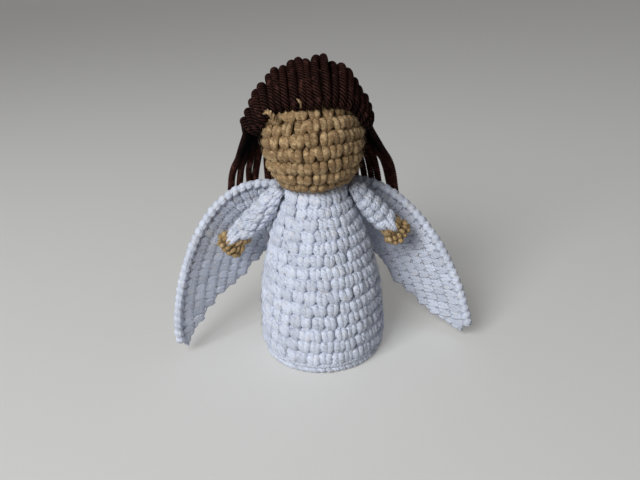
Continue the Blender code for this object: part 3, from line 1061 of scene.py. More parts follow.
@dataclass
class Gown:
    """The stuffed gown, its base disc and the ridge of yarn round the foot."""

    height: float = 69.6 * MM
    radius: float = 25.8 * MM
    neck: float = 11.9 * MM
    swell: float = 2.6
    shoulder: float = 1.12
    tuck: float = 1.3 * MM
    tuck_height: float = 10.0 * MM
    foot: float = 3.55 * MM
    fabric: float = 3.2 * MM
    lining: float = 2.05 * MM
    lining_steps: int = 24
    lining_sides: int = 48
    fill_foot: float = 5.1 * MM
    fill_steps: int = 14
    fill_share: float = 0.85
    gauge: float = 4.9 * MM
    rounds: int = 14
    stretch: float = 0.17
    first_drop: float = 0.8 * MM
    last_reach: float = 1.5 * MM
    stagger: float = 0.22
    fibres: int = 1700
    hem_rise: float = 0.1 * MM
    hem_depth: float = 1.3 * MM
    hem_yarn: float = 2.2 * MM
    hem_points: int = 121
    # Painted shade on the hem yarn sunk at the foot
    hem_painted_shade: float = -0.6
    ridge_radius: float = 22.85 * MM
    ridge_height: float = 1.7 * MM
    ridge_yarn: float = 1.5 * MM
    ridge_gauge: float = 2.6 * MM
    ridge_lift: float = 0.45 * MM
    ridge_grain: float = 1.05
    ridge_core: float = 0.72
    ridge_points: int = 181
    base_rounds: int = 4
    base_least: int = 6
    base_middle: float = 0.6
    base_draw: float = 0.97
    base_stagger: float = 0.2

    def wide(self, height: float) -> float:
        """Find the outer radius of the wall.

        Args:
            height: Height above the floor.

        Returns:
            The radius there.
        """
        share = min(max(height / self.height, 0.0), 1.0)
        swell = (1 - share**self.swell) ** self.shoulder
        tuck = self.tuck * max(0.0, 1 - height / self.tuck_height) ** 2
        return self.neck + (self.radius - self.neck) * swell - tuck

    def outline(self, inset: float, foot: float, steps: int = 40) -> list[tuple[float, float]]:
        """(radius, height) points up the wall, moved in by inset."""
        heights = np.linspace(foot, self.height, steps + 1)
        return [(self.wide(height) - inset, height) for height in heights]

    def dress(self) -> None:
        """Make the gown's pieces."""
        self.dress_wall()
        self.dress_base()
        self.dress_ridge()
        fill = self.outline(self.fabric + GAP, self.fill_foot, self.fill_steps)
        fill = [(0.0, self.fill_foot), *fill, (0.0, self.height)]
        lumpy_fill("gown_filling", fill, Body.DOLL, "gown_stuffing")
        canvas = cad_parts["base_stiffener"]
        canvas.data.materials.clear()
        canvas.data.materials.append(WARDROBE.get(CanvasFinish()))

    def dress_wall(self) -> None:
        """Work the wall in rounds of single crochet from the foot up."""
        work = YarnWork()
        form = TurnedForm(self.outline(0.0, self.foot))
        crochet = Crochet(form, gauge=self.gauge)
        shares = np.linspace(0.0, 1.0, self.rounds + 1)
        marks = form.length * shares * (1 + self.stretch * (1 - shares))
        marks[0] -= self.first_drop
        marks[-1] += self.last_reach
        for row, (low, high) in enumerate(zip(marks, marks[1:])):
            count = crochet.count((low + high) / 2)
            crochet.round(work, low, high - low, count, self.stagger * row * TAU / count)
        crochet.fuzz(work, 0.0, form.length, self.fibres)
        turns = np.linspace(-math.pi, math.pi, self.hem_points)
        rise = np.full_like(turns, self.hem_rise)
        sunk = np.full_like(turns, -self.hem_depth)
        hem = form.at(turns, rise, sunk)
        # Painted shade on the hem yarn sunk at the foot
        work.add_yarn(hem, self.hem_yarn / 2, PlySection(sides=8), self.hem_painted_shade)
        outer = self.outline(self.lining, self.foot, self.lining_steps)
        inner = self.outline(self.fabric, self.foot, self.lining_steps)
        # Painted shade on the lining under the wall's stitches
        work.add_shape(spun_shape(outer + inner[::-1], self.lining_sides, closed=True), LINING_PAINTED_SHADE)
        wall = work.piece("gown_stitches", WHITE_YARN, Body.DOLL, ["gown_shell"])

    def dress_base(self) -> None:
        """Work the base disc in rounds from its middle."""
        work = YarnWork()
        rim = self.ridge_radius - self.ridge_yarn - GAP
        form = TurnedForm([(0.0, 0.0), (rim / 2, 0.0), (rim, 0.0)])
        crochet = Crochet(form, seed=SEED + 1)
        height = rim / self.base_rounds
        for row in range(self.base_rounds):
            count = crochet.count((row + self.base_middle) * height, self.base_least)
            start = self.base_stagger * row
            crochet.round(work, row * height, height * self.base_draw, count, start)
        disc = [(0.0, self.lining), (rim, self.lining), (rim, self.fabric), (0.0, self.fabric)]
        # Painted shade on the lining under the disc's stitches
        work.add_shape(spun_shape(disc, self.lining_sides, closed=False), LINING_PAINTED_SHADE)
        work.piece("base_stitches", WHITE_YARN, Body.DOLL, ["gown_base"])

    def dress_ridge(self) -> None:
        """Lay the twisted ridge of front loops round the foot."""
        work = YarnWork()
        turns = np.linspace(0.0, TAU, self.ridge_points)
        ring = ring_points(self.ridge_radius, self.ridge_height, turns)
        path = SeamPath(ring, ring_points(1.0, 0.0, turns))
        path.lay_grains(work, self.ridge_gauge, self.ridge_lift, self.ridge_grain, seed=SEED + 2)
        # Painted shade on the core under the ridge's grains
        work.add_yarn(ring, self.ridge_yarn * self.ridge_core, PlySection(sides=8), LINING_PAINTED_SHADE)
        work.piece("base_rope", WHITE_YARN, Body.DOLL, ["base_ridge"])


class SeamPath:
    """A line with an outward direction, for yarn that is laid along it."""

    def __init__(self, line: np.ndarray, out: np.ndarray) -> None:
        """Measure the line.

        Args:
            line: Its points.
            out: Outward direction at each point.
        """
        self.line, self.marks = line, arc_marks(line)
        heading = unit_rows(np.gradient(line, axis=0))
        out = out - heading * np.sum(out * heading, axis=1)[:, None]
        self.out = unit_rows(out)
        self.up = np.cross(heading, self.out)

    def at(self, along: np.ndarray, up: np.ndarray, out: np.ndarray) -> np.ndarray:
        """Places beside the line.

        Args:
            along: Distances along it.
            up: Distances square to the line and to its outward direction.
            out: Distances outward.

        Returns:
            A row of coordinates for each.
        """
        spots = []
        for table in (self.line, self.up, self.out):
            spots.append(np.column_stack([np.interp(along, self.marks, c) for c in table.T]))
        line, side, outward = spots
        return line + side * up[:, None] + outward * out[:, None]

    def lay_grains(
        self, work: YarnWork, gauge: float, lift: float, size: float, seed: int, slant: float = 1.0
    ) -> None:
        """Lay slanted grains of yarn end to end, like the turns of a rope.

        Args:
            work: Piece that takes them.
            gauge: Distance from one to the next.
            lift: How far out they lie.
            size: Their size against the drawn one.
            seed: Seed of their small differences.
            slant: Their slant against the drawn one.
        """
        chance = random.Random(seed)
        drawn = mesh_points(LOOPS.grain) * size
        count = round(self.marks[-1] / gauge)
        for place in range(count):
            middle = (place + 0.5) * self.marks[-1] / count
            swell = 1 + chance.uniform(-YARN_SWELL, YARN_SWELL)
            along = np.clip(middle + drawn[:, 0], 0.0, self.marks[-1])
            places = self.at(along, drawn[:, 1] * slant * swell, lift + drawn[:, 2] * swell)
            work.lay(LOOPS.grain, places, chance.uniform(-1, 1))

    def lay_wraps(self, work: YarnWork, gauge: float, stretch: float, seed: int) -> None:
        """Lay slanted loops that wrap round the line from its inner front to its inner back.

        Args:
            work: Piece that takes them.
            gauge: Distance from one to the next.
            stretch: Their length along the line against the drawn one.
            seed: Seed of their small differences.
        """
        chance = random.Random(seed)
        drawn = mesh_points(LOOPS.wrap)
        count = round(self.marks[-1] / gauge)
        for place in range(count):
            shift = chance.uniform(-WRAP_SHIFT, WRAP_SHIFT)
            middle = (place + WRAP_START) * self.marks[-1] / count + shift
            swell = 1 + chance.uniform(-YARN_SWELL, YARN_SWELL)
            along = np.clip(middle + drawn[:, 0] * stretch, 0.0, self.marks[-1])
            places = self.at(along, drawn[:, 1] * swell, drawn[:, 2] * swell)
            work.lay(LOOPS.wrap, places, chance.uniform(-1, 1))


@dataclass
class Head:
    """The stuffed head and the yarn that sews it to the neck."""

    base: float = 71.5 * MM
    widest: float = 18.2 * MM
    width: float = 38.7 * MM
    crown: float = 24.4 * MM
    chin: float = 11.0 * MM
    fabric: float = 3.2 * MM
    lining: float = 2.6 * MM
    lining_steps: int = 24
    lining_sides: int = 40
    # Painted shade: deep darkening of the lining under the head's stitches
    lining_painted_shade: float = -6.0
    fill_steps: int = 16
    fill_share: float = 0.9
    rounds: int = 12
    least: int = 6
    front_rise: float = 4.0 * MM
    left_rise: float = 1.3 * MM
    stagger: float = 0.22
    fibres: int = 1000
    fibres_to: float = 0.7
    tuft: Knots = (
        (-11.8, -14.4, 98.6, 0.85),
        (-12.9, -15.5, 101.0, 1.05),
        (-14.5, -14.5, 102.7, 1.0),
        (-16.2, -12.4, 101.5, 0.5),
    )
    thread: Knots = (
        (-3.4, -17.1, 103.9, 0.4),
        (-3.4, -18.0, 105.7, 0.42),
        (-4.5, -17.5, 107.0, 0.3),
    )
    loose_step: float = 0.5 * MM
    loose_pitch: float = 3.6 * MM
    loose_tint: float = 1.0
    seam_radius: float = 10.4 * MM
    seam_height: float = 70.55 * MM
    seam_yarn: float = 0.6 * MM
    seam_pitch: float = 4.0 * MM
    seam_points: int = 161

    def outline(self, inset: float, steps: int = 48) -> list[tuple[float, float]]:
        """Draw the head's side from the chin to the crown.

        Args:
            inset: How far in from the outside.
            steps: Steps of the line.

        Returns:
            (radius, height) points.
        """
        points = []
        middle = self.base + self.widest
        wide, chin = self.width / 2 - inset, self.chin - inset
        for angle in np.linspace(-math.pi / 2, math.pi / 2, steps + 1):
            if angle >= 0:
                radius = wide * math.cos(angle)
                height = middle + (self.crown - inset) * math.sin(angle)
            else:
                radius = chin + (wide - chin) * math.cos(angle)
                height = middle + self.widest * math.sin(angle)
            points.append((max(radius, 0.0), height))
        return points

    def dress(self) -> None:
        """Make the head's pieces."""
        self.dress_skin()
        fill = [(0.0, self.base + GAP), *self.outline(self.fabric + GAP, self.fill_steps)]
        fill[1] = (fill[1][0], self.base + GAP)
        fill[-1] = (0.0, fill[-1][1])
        lumpy_fill("head_filling", fill, Body.DOLL, "head_stuffing")
        self.dress_seam()

    def dress_skin(self) -> None:
        """Work the head in rounds from the chin up, with two loose ends at the hairline."""
        work = YarnWork()
        form = TurnedForm(self.outline(0.0), rises=(self.front_rise, self.left_rise))
        crochet = Crochet(
            form,
            gauge=5.3 * MM,
            flatness=0.85,
            stitch_top=1.6 * MM,
            cord_depth=1.4 * MM,
            # Painted shade, dark, in the grooves between the face's rounds
            cord_painted_shade=-4.0,
            loop=LOOPS.plump,
            uneven=0.36 * MM,
            swell=0.16,
            seed=SEED + 3,
        )
        height = form.length / self.rounds
        for row in range(self.rounds):
            low = row * height
            count = crochet.count(low + height / 2, self.least)
            crochet.round(work, low, height, count, self.stagger * row * TAU / count)
        crochet.fuzz(work, 0.0, self.fibres_to * form.length, self.fibres)
        outer = self.outline(self.lining, self.lining_steps)
        inner = self.outline(self.fabric, self.lining_steps)
        lining = spun_shape(outer + inner[::-1], self.lining_sides, closed=False)
        # Painted shade on the lining, which shows dark between the stitches
        work.add_shape(lining, self.lining_painted_shade)
        twist = PlySection(sides=12, plies=3, pitch=self.loose_pitch)
        for table in (self.tuft, self.thread):
            rows = smooth_line(np.array(table) * MM, self.loose_step)
            work.add_yarn(rows[:, :3], rows[:, 3], twist, self.loose_tint)
        head = work.piece("head_stitches", TAN_YARN, Body.DOLL, ["head_shell"])

    def dress_seam(self) -> None:
        """Lay the ring of yarn that sews the head on."""
        work = YarnWork()
        turns = np.linspace(0.0, TAU, self.seam_points)
        ring = ring_points(self.seam_radius, self.seam_height, turns)
        work.add_yarn(ring, self.seam_yarn, PlySection(sides=12, plies=3, pitch=self.seam_pitch))
        work.piece("neck_sewing", WHITE_YARN, Body.DOLL, ["neck_seam"])


@dataclass
class Hair:
    """Strands of plied yarn, sewn on along the hairline and left hanging behind the wings."""

    strands: int = 21
    yarn: float = 2.4 * MM
    full: float = 1.3
    full_range: tuple[float, float] = (0.88, 1.12)
    side_full: float = 0.12
    strand_angle: float = 2.78 / 20.9
    middle: float = 89.7 * MM
    wide: float = 20.9 * MM
    tall: float = 25.95 * MM
    line_height: float = 14.2 * MM
    line_drop: float = 13.0 * MM
    line_power: int = 4
    start_least: float = 0.05
    start_most: float = 0.9
    crown_knots: int = 9
    rise: float = 0.9 * MM
    rise_turn: float = 2.2
    rise_start: float = 0.5
    left_loft: float = 0.8 * MM
    right_loft: float = 4.4 * MM
    loft_power: int = 3
    fall: float = 34.8 * MM
    fall_knots: int = 7
    uneven: float = 1.4 * MM
    uneven_turn: float = 2.4
    sweep: float = 20.0 * MM
    side_forward: float = 2.8 * MM
    end_y: float = 25.0 * MM
    left_spread: float = 34.0 * MM
    right_spread: float = 35.5 * MM
    spread_ease: float = 0.6
    hanging_share: float = 0.86
    hanging_slim: float = 3.0
    wobble: float = 1.9 * MM
    wobble_side: float = 0.6
    slow_bend: float = 0.8
    quick_bend: float = 0.6
    quick_turns: float = 2.3
    settle: float = 2.0
    settle_from: float = 0.7
    stray: float = 1.5 * MM
    stray_from: float = 0.6
    stray_slope: float = 3.0
    lift: float = 1.7 * MM
    lift_range: tuple[float, float] = (-0.5, 0.9)
    lift_to: float = 0.55
    lift_side: float = 0.8
    tuck_depth: float = 1.5 * MM
    tuck_range: tuple[float, float] = (2.4 * MM, 4.0 * MM)
    root_slim: float = 0.45
    tip_slim: float = 0.25
    tip_reach: float = 1.2 * MM
    ply_pitch: float = -7.0 * MM
    ply_sides: int = 4
    ring_step: float = 0.44 * MM
    tone: float = 2.0
    # Painted shade between the strands on the crown, and painted light on the hanging strands
    shading: float = 5.4
    crown_to: float = 0.68
    crown_slope: float = 5.0
    hanging_painted_light: float = 1.6
    path_step: int = 4

    def route(self, place: int) -> np.ndarray:
        """The route of a strand from the hairline to its hanging end.

        Args:
            place: Strands from the middle of the head, towards the doll's left.

        Returns:
            Rows of x, y, z and thickness share.
        """
        side = place / ((self.strands - 1) // 2)
        polar = math.pi / 2 + place * self.strand_angle
        across, round_ = -math.cos(polar), math.sin(polar)
        start = (self.line_height - self.line_drop * across**self.line_power) / (self.tall * round_)
        start = math.asin(min(max(start, self.start_least), self.start_most))
        loft = (self.left_loft if side > 0 else -self.right_loft) * abs(across) ** self.loft_power
        uneven = math.sin(self.rise_turn * place + self.rise_start) ** 2
        arch = self.rise * uneven * round_**2 / self.tall
        rows = []
        for along in np.linspace(0.0, 1.0, self.crown_knots):
            turn = start + (math.pi - start) * along
            bulge = loft * math.sin(math.pi / 2 * min(1.0, 2 * along))
            ring = round_ * (1 + arch * math.sin(math.pi * along))
            deep, high = self.wide * ring * math.cos(turn), self.tall * ring * math.sin(turn)
            rows.append((self.wide * across + bulge, -deep, self.middle + high, 1.0))
        top = rows[-1]
        end_z = self.middle - self.fall + self.uneven * math.sin(self.uneven_turn * place)
        spread = self.left_spread if side > 0 else self.right_spread
        end = (side * spread, self.end_y - self.side_forward * side**2, end_z)
        for along in np.linspace(0.0, 1.0, self.fall_knots)[1:]:
            fallen = along * (self.middle - end_z)
            swept = min(1.0, fallen / self.sweep)
            shares = (self.spread_ease * swept + (1 - self.spread_ease) * along, swept, along)
            spot = [top[k] + (end[k] - top[k]) * shares[k] for k in range(3)]
            slim = (1 - self.hanging_share) * min(1.0, self.hanging_slim * along)
            rows.append((*spot, 1 - slim))
        return np.array(rows)

    def dress(self) -> None:
        """Make each strand as a cord."""
        half = (self.strands - 1) // 2
        for place in range(-half, half + 1):
            self.dress_strand(place, place + half + 1)

    def loosened(
        self, line: np.ndarray, out: np.ndarray, place: int, chance: random.Random
    ) -> np.ndarray:
        """Let a strand bend, stray and rise a little from its route.

        Args:
            line: Points of the route.
            out: Outward direction at each point.
            place: Strands from the middle of the head, towards the doll's left.
            chance: Draw of small differences.

        Returns:
            The points of the loosened strand.
        """
        marks = arc_marks(line)
        way = marks / marks[-1]
        side = abs(2 * place / self.strands)
        sideways = unit_rows(np.cross(np.gradient(line, axis=0), out))
        ease = np.sqrt(np.sin(np.pi * way)) * (1 - self.settle * np.maximum(way - self.settle_from, 0.0))
        bends = np.zeros_like(way)
        for reach, turns in ((self.slow_bend, 1.0), (self.quick_bend, self.quick_turns)):
            size = chance.uniform(-reach, reach)
            bends += size * np.sin(turns * TAU * way + chance.uniform(0.0, TAU))
        wobble = self.wobble * (1 - self.wobble_side * side)
        loose = line + sideways * (ease * bends * wobble)[:, None]
        strayed = np.clip(self.stray_slope * (way - self.stray_from), 0.0, 1.0)
        loose[:, 0] += chance.uniform(-1, 1) * self.stray * strayed
        raised = chance.uniform(*self.lift_range) * np.sin(np.pi * np.clip(way / self.lift_to, 0.0, 1.0))
        lift = self.lift * (1 - self.lift_side * side**2)
        return loose + out * (lift * raised)[:, None]

    def dress_strand(self, place: int, number: int) -> None:
        """Args:
            place: Strands from the middle of the head, towards the doll's left.
            number: The strand's number, from the doll's right.
        """
        chance = random.Random(SEED + number)
        rows = smooth_line(self.route(place), self.ring_step)
        route, share = rows[:, :3], rows[:, 3]
        marks = arc_marks(route)
        out = unit_rows(route - np.array((0.0, 0.0, self.middle)))
        line = self.loosened(route, out, place, chance)
        into = np.clip(1 - marks / chance.uniform(*self.tuck_range), 0.0, 1.0) ** 2
        tucked = line - out * (self.tuck_depth * into)[:, None]
        tip = np.clip(1 - (marks[-1] - marks) / self.tip_reach, 0.0, 1.0)
        slim = (1 - self.root_slim * into) * (1 - self.tip_slim * tip)
        full = self.full * (1 + self.side_full * math.sin(place * self.strand_angle) ** 2)
        radius = self.yarn / 2 * full * chance.uniform(*self.full_range) * share * slim
        sides = self.ply_sides * HAIR_PLIES
        section = PlySection(sides, HAIR_PLIES, self.ply_pitch, chance.uniform(0.0, TAU))
        work = YarnWork()
        work.add_yarn(tucked, radius, section, chance.uniform(-self.tone, self.tone))
        # Painted shade on the sides of the crown strands, and painted light that lifts the hanging part
        crown = np.clip(self.crown_slope * (self.crown_to - marks / marks[-1]), 0.0, 1.0)
        hanging = self.hanging_painted_light * (1 - crown)
        work.shade(tucked, out, self.shading * crown, self.shading * hanging)
        node = f"hair_strand_{number:02d}"
        strand = work.piece(f"hair_yarn_{number:02d}", BROWN_YARN, Body.DOLL, [node])


@dataclass
class Arm:
    """A sleeve with a hand at its end, sewn to the shoulder."""

    side: Side
    length: float
    direction: Vector
    shoulder: float = 4.6 * MM
    sleeve: float = 5.0 * MM
    wrist: float = 4.8 * MM
    hand: float = 6.1 * MM
    hand_length: float = 7.4 * MM
    tip_points: int = 13
    palm_points: int = 7
    sleeve_points: int = 13
    top_points: int = 9
    fabric: float = 1.8 * MM
    lining: float = 1.5 * MM
    lining_sides: int = 20
    normal_x: float = 0.922765
    normal_z: float = 0.385363
    centre_x: float = 15.107 * MM
    centre_z: float = 66.754 * MM
    seat: float = 1.606 * MM
    slant: float = 0.0
    tongue_lean: float = 0.0
    tongue_up: float = 0.4
    hand_rounds: tuple[int, ...] = (6, 11, 14, 15)
    hand_gap: float = 0.3 * MM
    hand_reach: float = 2.3 * MM
    # Painted shade: the cup under the hand's lumps shows very dark in the gaps
    hand_lining_shade: float = -7.0
    hand_fill: float = 0.8
    stitches: int = 7
    sleeve_rounds: int = 6
    sleeve_gap: float = 2.0 * MM
    sleeve_stagger: float = 0.3
    sleeve_fill: float = 0.75
    fibres: int = 260
    fill_lift: float = 1.5 * MM
    knot_turns: int = 3
    knot_points: int = 61
    knot_step: float = 0.35 * MM
    knot_lift: float = 0.55 * MM
    knot_yarn: float = 0.3 * MM

    @property
    def body(self) -> Body:
        """The body that the arm rides on."""
        return Body(self.side.label + "_arm")

    @property
    def normal(self) -> np.ndarray:
        """The gown's outward direction at the shoulder."""
        return np.array((self.side.value * self.normal_x, 0.0, self.normal_z))

    @property
    def centre(self) -> np.ndarray:
        """The middle of the arm's rounded top."""
        return np.array((self.side.value * self.centre_x, 0.0, self.centre_z))

    def place(self) -> Matrix:
        """Where the arm's own axis stands."""
        turn = self.direction.to_track_quat("Z", "Y").to_matrix().to_4x4()
        return Matrix.Translation(Vector(self.centre)) @ turn

    def facing(self, way: tuple[float, float, float]) -> float:
        """The angle round the arm's axis that faces a direction of the doll."""
        local = self.place().to_3x3().transposed() @ Vector(way)
        return math.atan2(local.x, -local.y)

    def hand_outline(self, inset: float) -> list[tuple[float, float]]:
        """Draw the hand's side from its tip to the wrist.

        Args:
            inset: How far in from the outside.

        Returns:
            (radius, distance) points along the arm's axis.
        """
        wrist, half = self.length - self.hand_length, self.hand_length / 2
        points = []
        for angle in np.linspace(math.pi / 2, 0.0, self.tip_points):
            reach = (half - inset) * math.sin(angle)
            points.append(((self.hand - inset) * max(math.cos(angle), 0.0), wrist + half + reach))
        for share in np.linspace(1.0, 0.0, self.palm_points)[1:]:
            swell = (self.hand - self.wrist) * math.sin(math.pi / 2 * share)
            points.append((self.wrist + swell - inset, wrist + half * share))
        return points

    def sleeve_outline(self, inset: float) -> list[tuple[float, float]]:
        """Draw the sleeve's side from the wrist to the top of the shoulder.

        Args:
            inset: How far in from the outside.

        Returns:
            (radius, distance) points along the arm's axis.
        """
        wrist = self.length - self.hand_length
        middle = (self.shoulder + self.wrist) / 2
        points = []
        for share in np.linspace(1.0, 0.0, self.sleeve_points):
            straight = self.shoulder + (self.wrist - self.shoulder) * share
            swell = (self.sleeve - middle) * 4 * share * (1 - share)
            points.append((straight + swell - inset, wrist * share))
        top = self.shoulder - inset
        for angle in np.linspace(math.pi / 2, 0.0, self.top_points)[1:]:
            points.append((top * math.sin(angle), -top * math.cos(angle)))
        return points

    def against_gown(self, places: np.ndarray, lift: float = 0.0) -> np.ndarray:
        """Press points flat where the arm lies on the gown.

        Args:
            places: Rows of coordinates.
            lift: Extra distance from the gown.

        Returns:
            The rows, none of them behind the gown's side of the shoulder.
        """
        depth = (places - self.centre) @ self.normal + self.seat
        return places + self.normal * np.maximum(lift - depth, 0.0)[:, None]

    def stood(self, shape: bmesh.types.BMesh) -> bmesh.types.BMesh:
        """Move a shape from the arm's own axis to the doll."""
        bmesh.ops.transform(shape, matrix=self.place(), verts=shape.verts)
        return shape

    def dress(self) -> None:
        """Make the arm's pieces."""
        sign = self.side.value
        hand_line = self.hand_outline(0.0)
        below = self.facing((self.direction.z * sign, 0.0, -self.direction.x * sign))
        rises = (self.slant * math.cos(below), self.slant * math.sin(below))
        line = hand_line + self.sleeve_outline(0.0)[1:]
        form = TurnedForm(line, self.place(), outward=-1, rises=rises)
        wrist = float(arc_marks(np.array(hand_line))[-1]) + self.hand_reach
        front = self.facing((sign * self.tongue_lean, -1.0, self.tongue_up))
        self.dress_hand(form, wrist, front)
        self.dress_sleeve(form, wrist, front)
        self.dress_filling()
        self.dress_knot()

    def dress_hand(self, form: TurnedForm, wrist: float, front: float) -> None:
        """Work the hand in rounds of tight lumps from its tip.

        Args:
            form: The arm's form.
            wrist: Distance along it where the sleeve starts.
            front: Angle that faces forward.
        """
        work = YarnWork()
        lumps = Crochet(
            form,
            stitch_top=2.2 * MM,
            flatness=1.0,
            cord_depth=0.4 * MM,
            # Painted shade, dark, in the grooves between the hand's lumps
            cord_painted_shade=-5.0,
            uneven=0.45 * MM,
            loop=LOOPS.bead,
            seed=SEED + 7 + self.side.value,
        )
        height = wrist / len(self.hand_rounds)
        for row, count in enumerate(self.hand_rounds):
            lumps.round(work, self.hand_gap + height * row, height, count, front + row)
        cup = self.hand_outline(self.lining) + self.hand_outline(self.fabric)[::-1]
        # Painted shade on the cup under the lumps
        work.add_shape(self.stood(spun_shape(cup, self.lining_sides, closed=False)), self.hand_lining_shade)
        node = self.side.label + "_hand"
        palm = work.piece(node + "_stitches", GOLD_TAN_YARN, self.body, [node])

    def dress_sleeve(self, form: TurnedForm, wrist: float, front: float) -> None:
        """Work the sleeve in rounds from the wrist up.

        Args:
            form: The arm's form.
            wrist: Distance along it where the sleeve starts.
            front: Angle that faces forward.
        """
        work = YarnWork()
        crochet = Crochet(
            form, cord_radius=0.8 * MM, uneven=0.16 * MM, seed=SEED + 5 + self.side.value
        )
        height = (form.length - wrist - self.sleeve_gap) / self.sleeve_rounds
        for row in range(self.sleeve_rounds):
            low = wrist + row * height
            start = front + self.sleeve_stagger * row
            crochet.round(work, low, height, self.stitches, start, tongue=None if row else 0)
        crochet.fuzz(work, wrist, form.length, self.fibres)
        tube = self.sleeve_outline(self.lining) + self.sleeve_outline(self.fabric)[::-1]
        # Painted shade on the lining under the sleeve's stitches
        work.add_shape(self.stood(spun_shape(tube, self.lining_sides, closed=True)), LINING_PAINTED_SHADE)
        node = self.side.label + "_sleeve"
        cuff = work.piece(node + "_stitches", WHITE_YARN, self.body, [node], self.against_gown)

    def dress_filling(self) -> None:
        """Fill the hand and the sleeve."""
        inset = self.fabric + GAP
        line = self.hand_outline(inset) + self.sleeve_outline(inset)[1:]
        line[0], line[-1] = (0.0, line[0][1]), (0.0, line[-1][1])
        lumpy_fill(
            self.side.label + "_arm_filling",
            line,
            self.body,
            self.side.label + "_arm_stuffing",
            self.place(),
            lambda places: self.against_gown(places, self.fill_lift),
        )

    def dress_knot(self) -> None:
        """Wind the knot of thread that holds the arm."""
        turns = np.linspace(0.0, self.knot_turns * TAU, self.knot_points)
        first = np.array((0.0, 1.0, 0.0))
        second = np.cross(self.normal, first)
        radius = self.knot_step * (1 + turns / TAU)
        skin = self.centre - self.normal * (self.seat - self.knot_lift)
        spiral = np.column_stack([radius * np.cos(turns), radius * np.sin(turns)])
        work = YarnWork()
        work.add_yarn(skin + spiral @ np.array((first, second)), self.knot_yarn, PlySection(sides=6))
        node = self.side.label + "_arm_thread"
        work.piece(self.side.label + "_arm_knot", WHITE_YARN, Body.DOLL, [node])


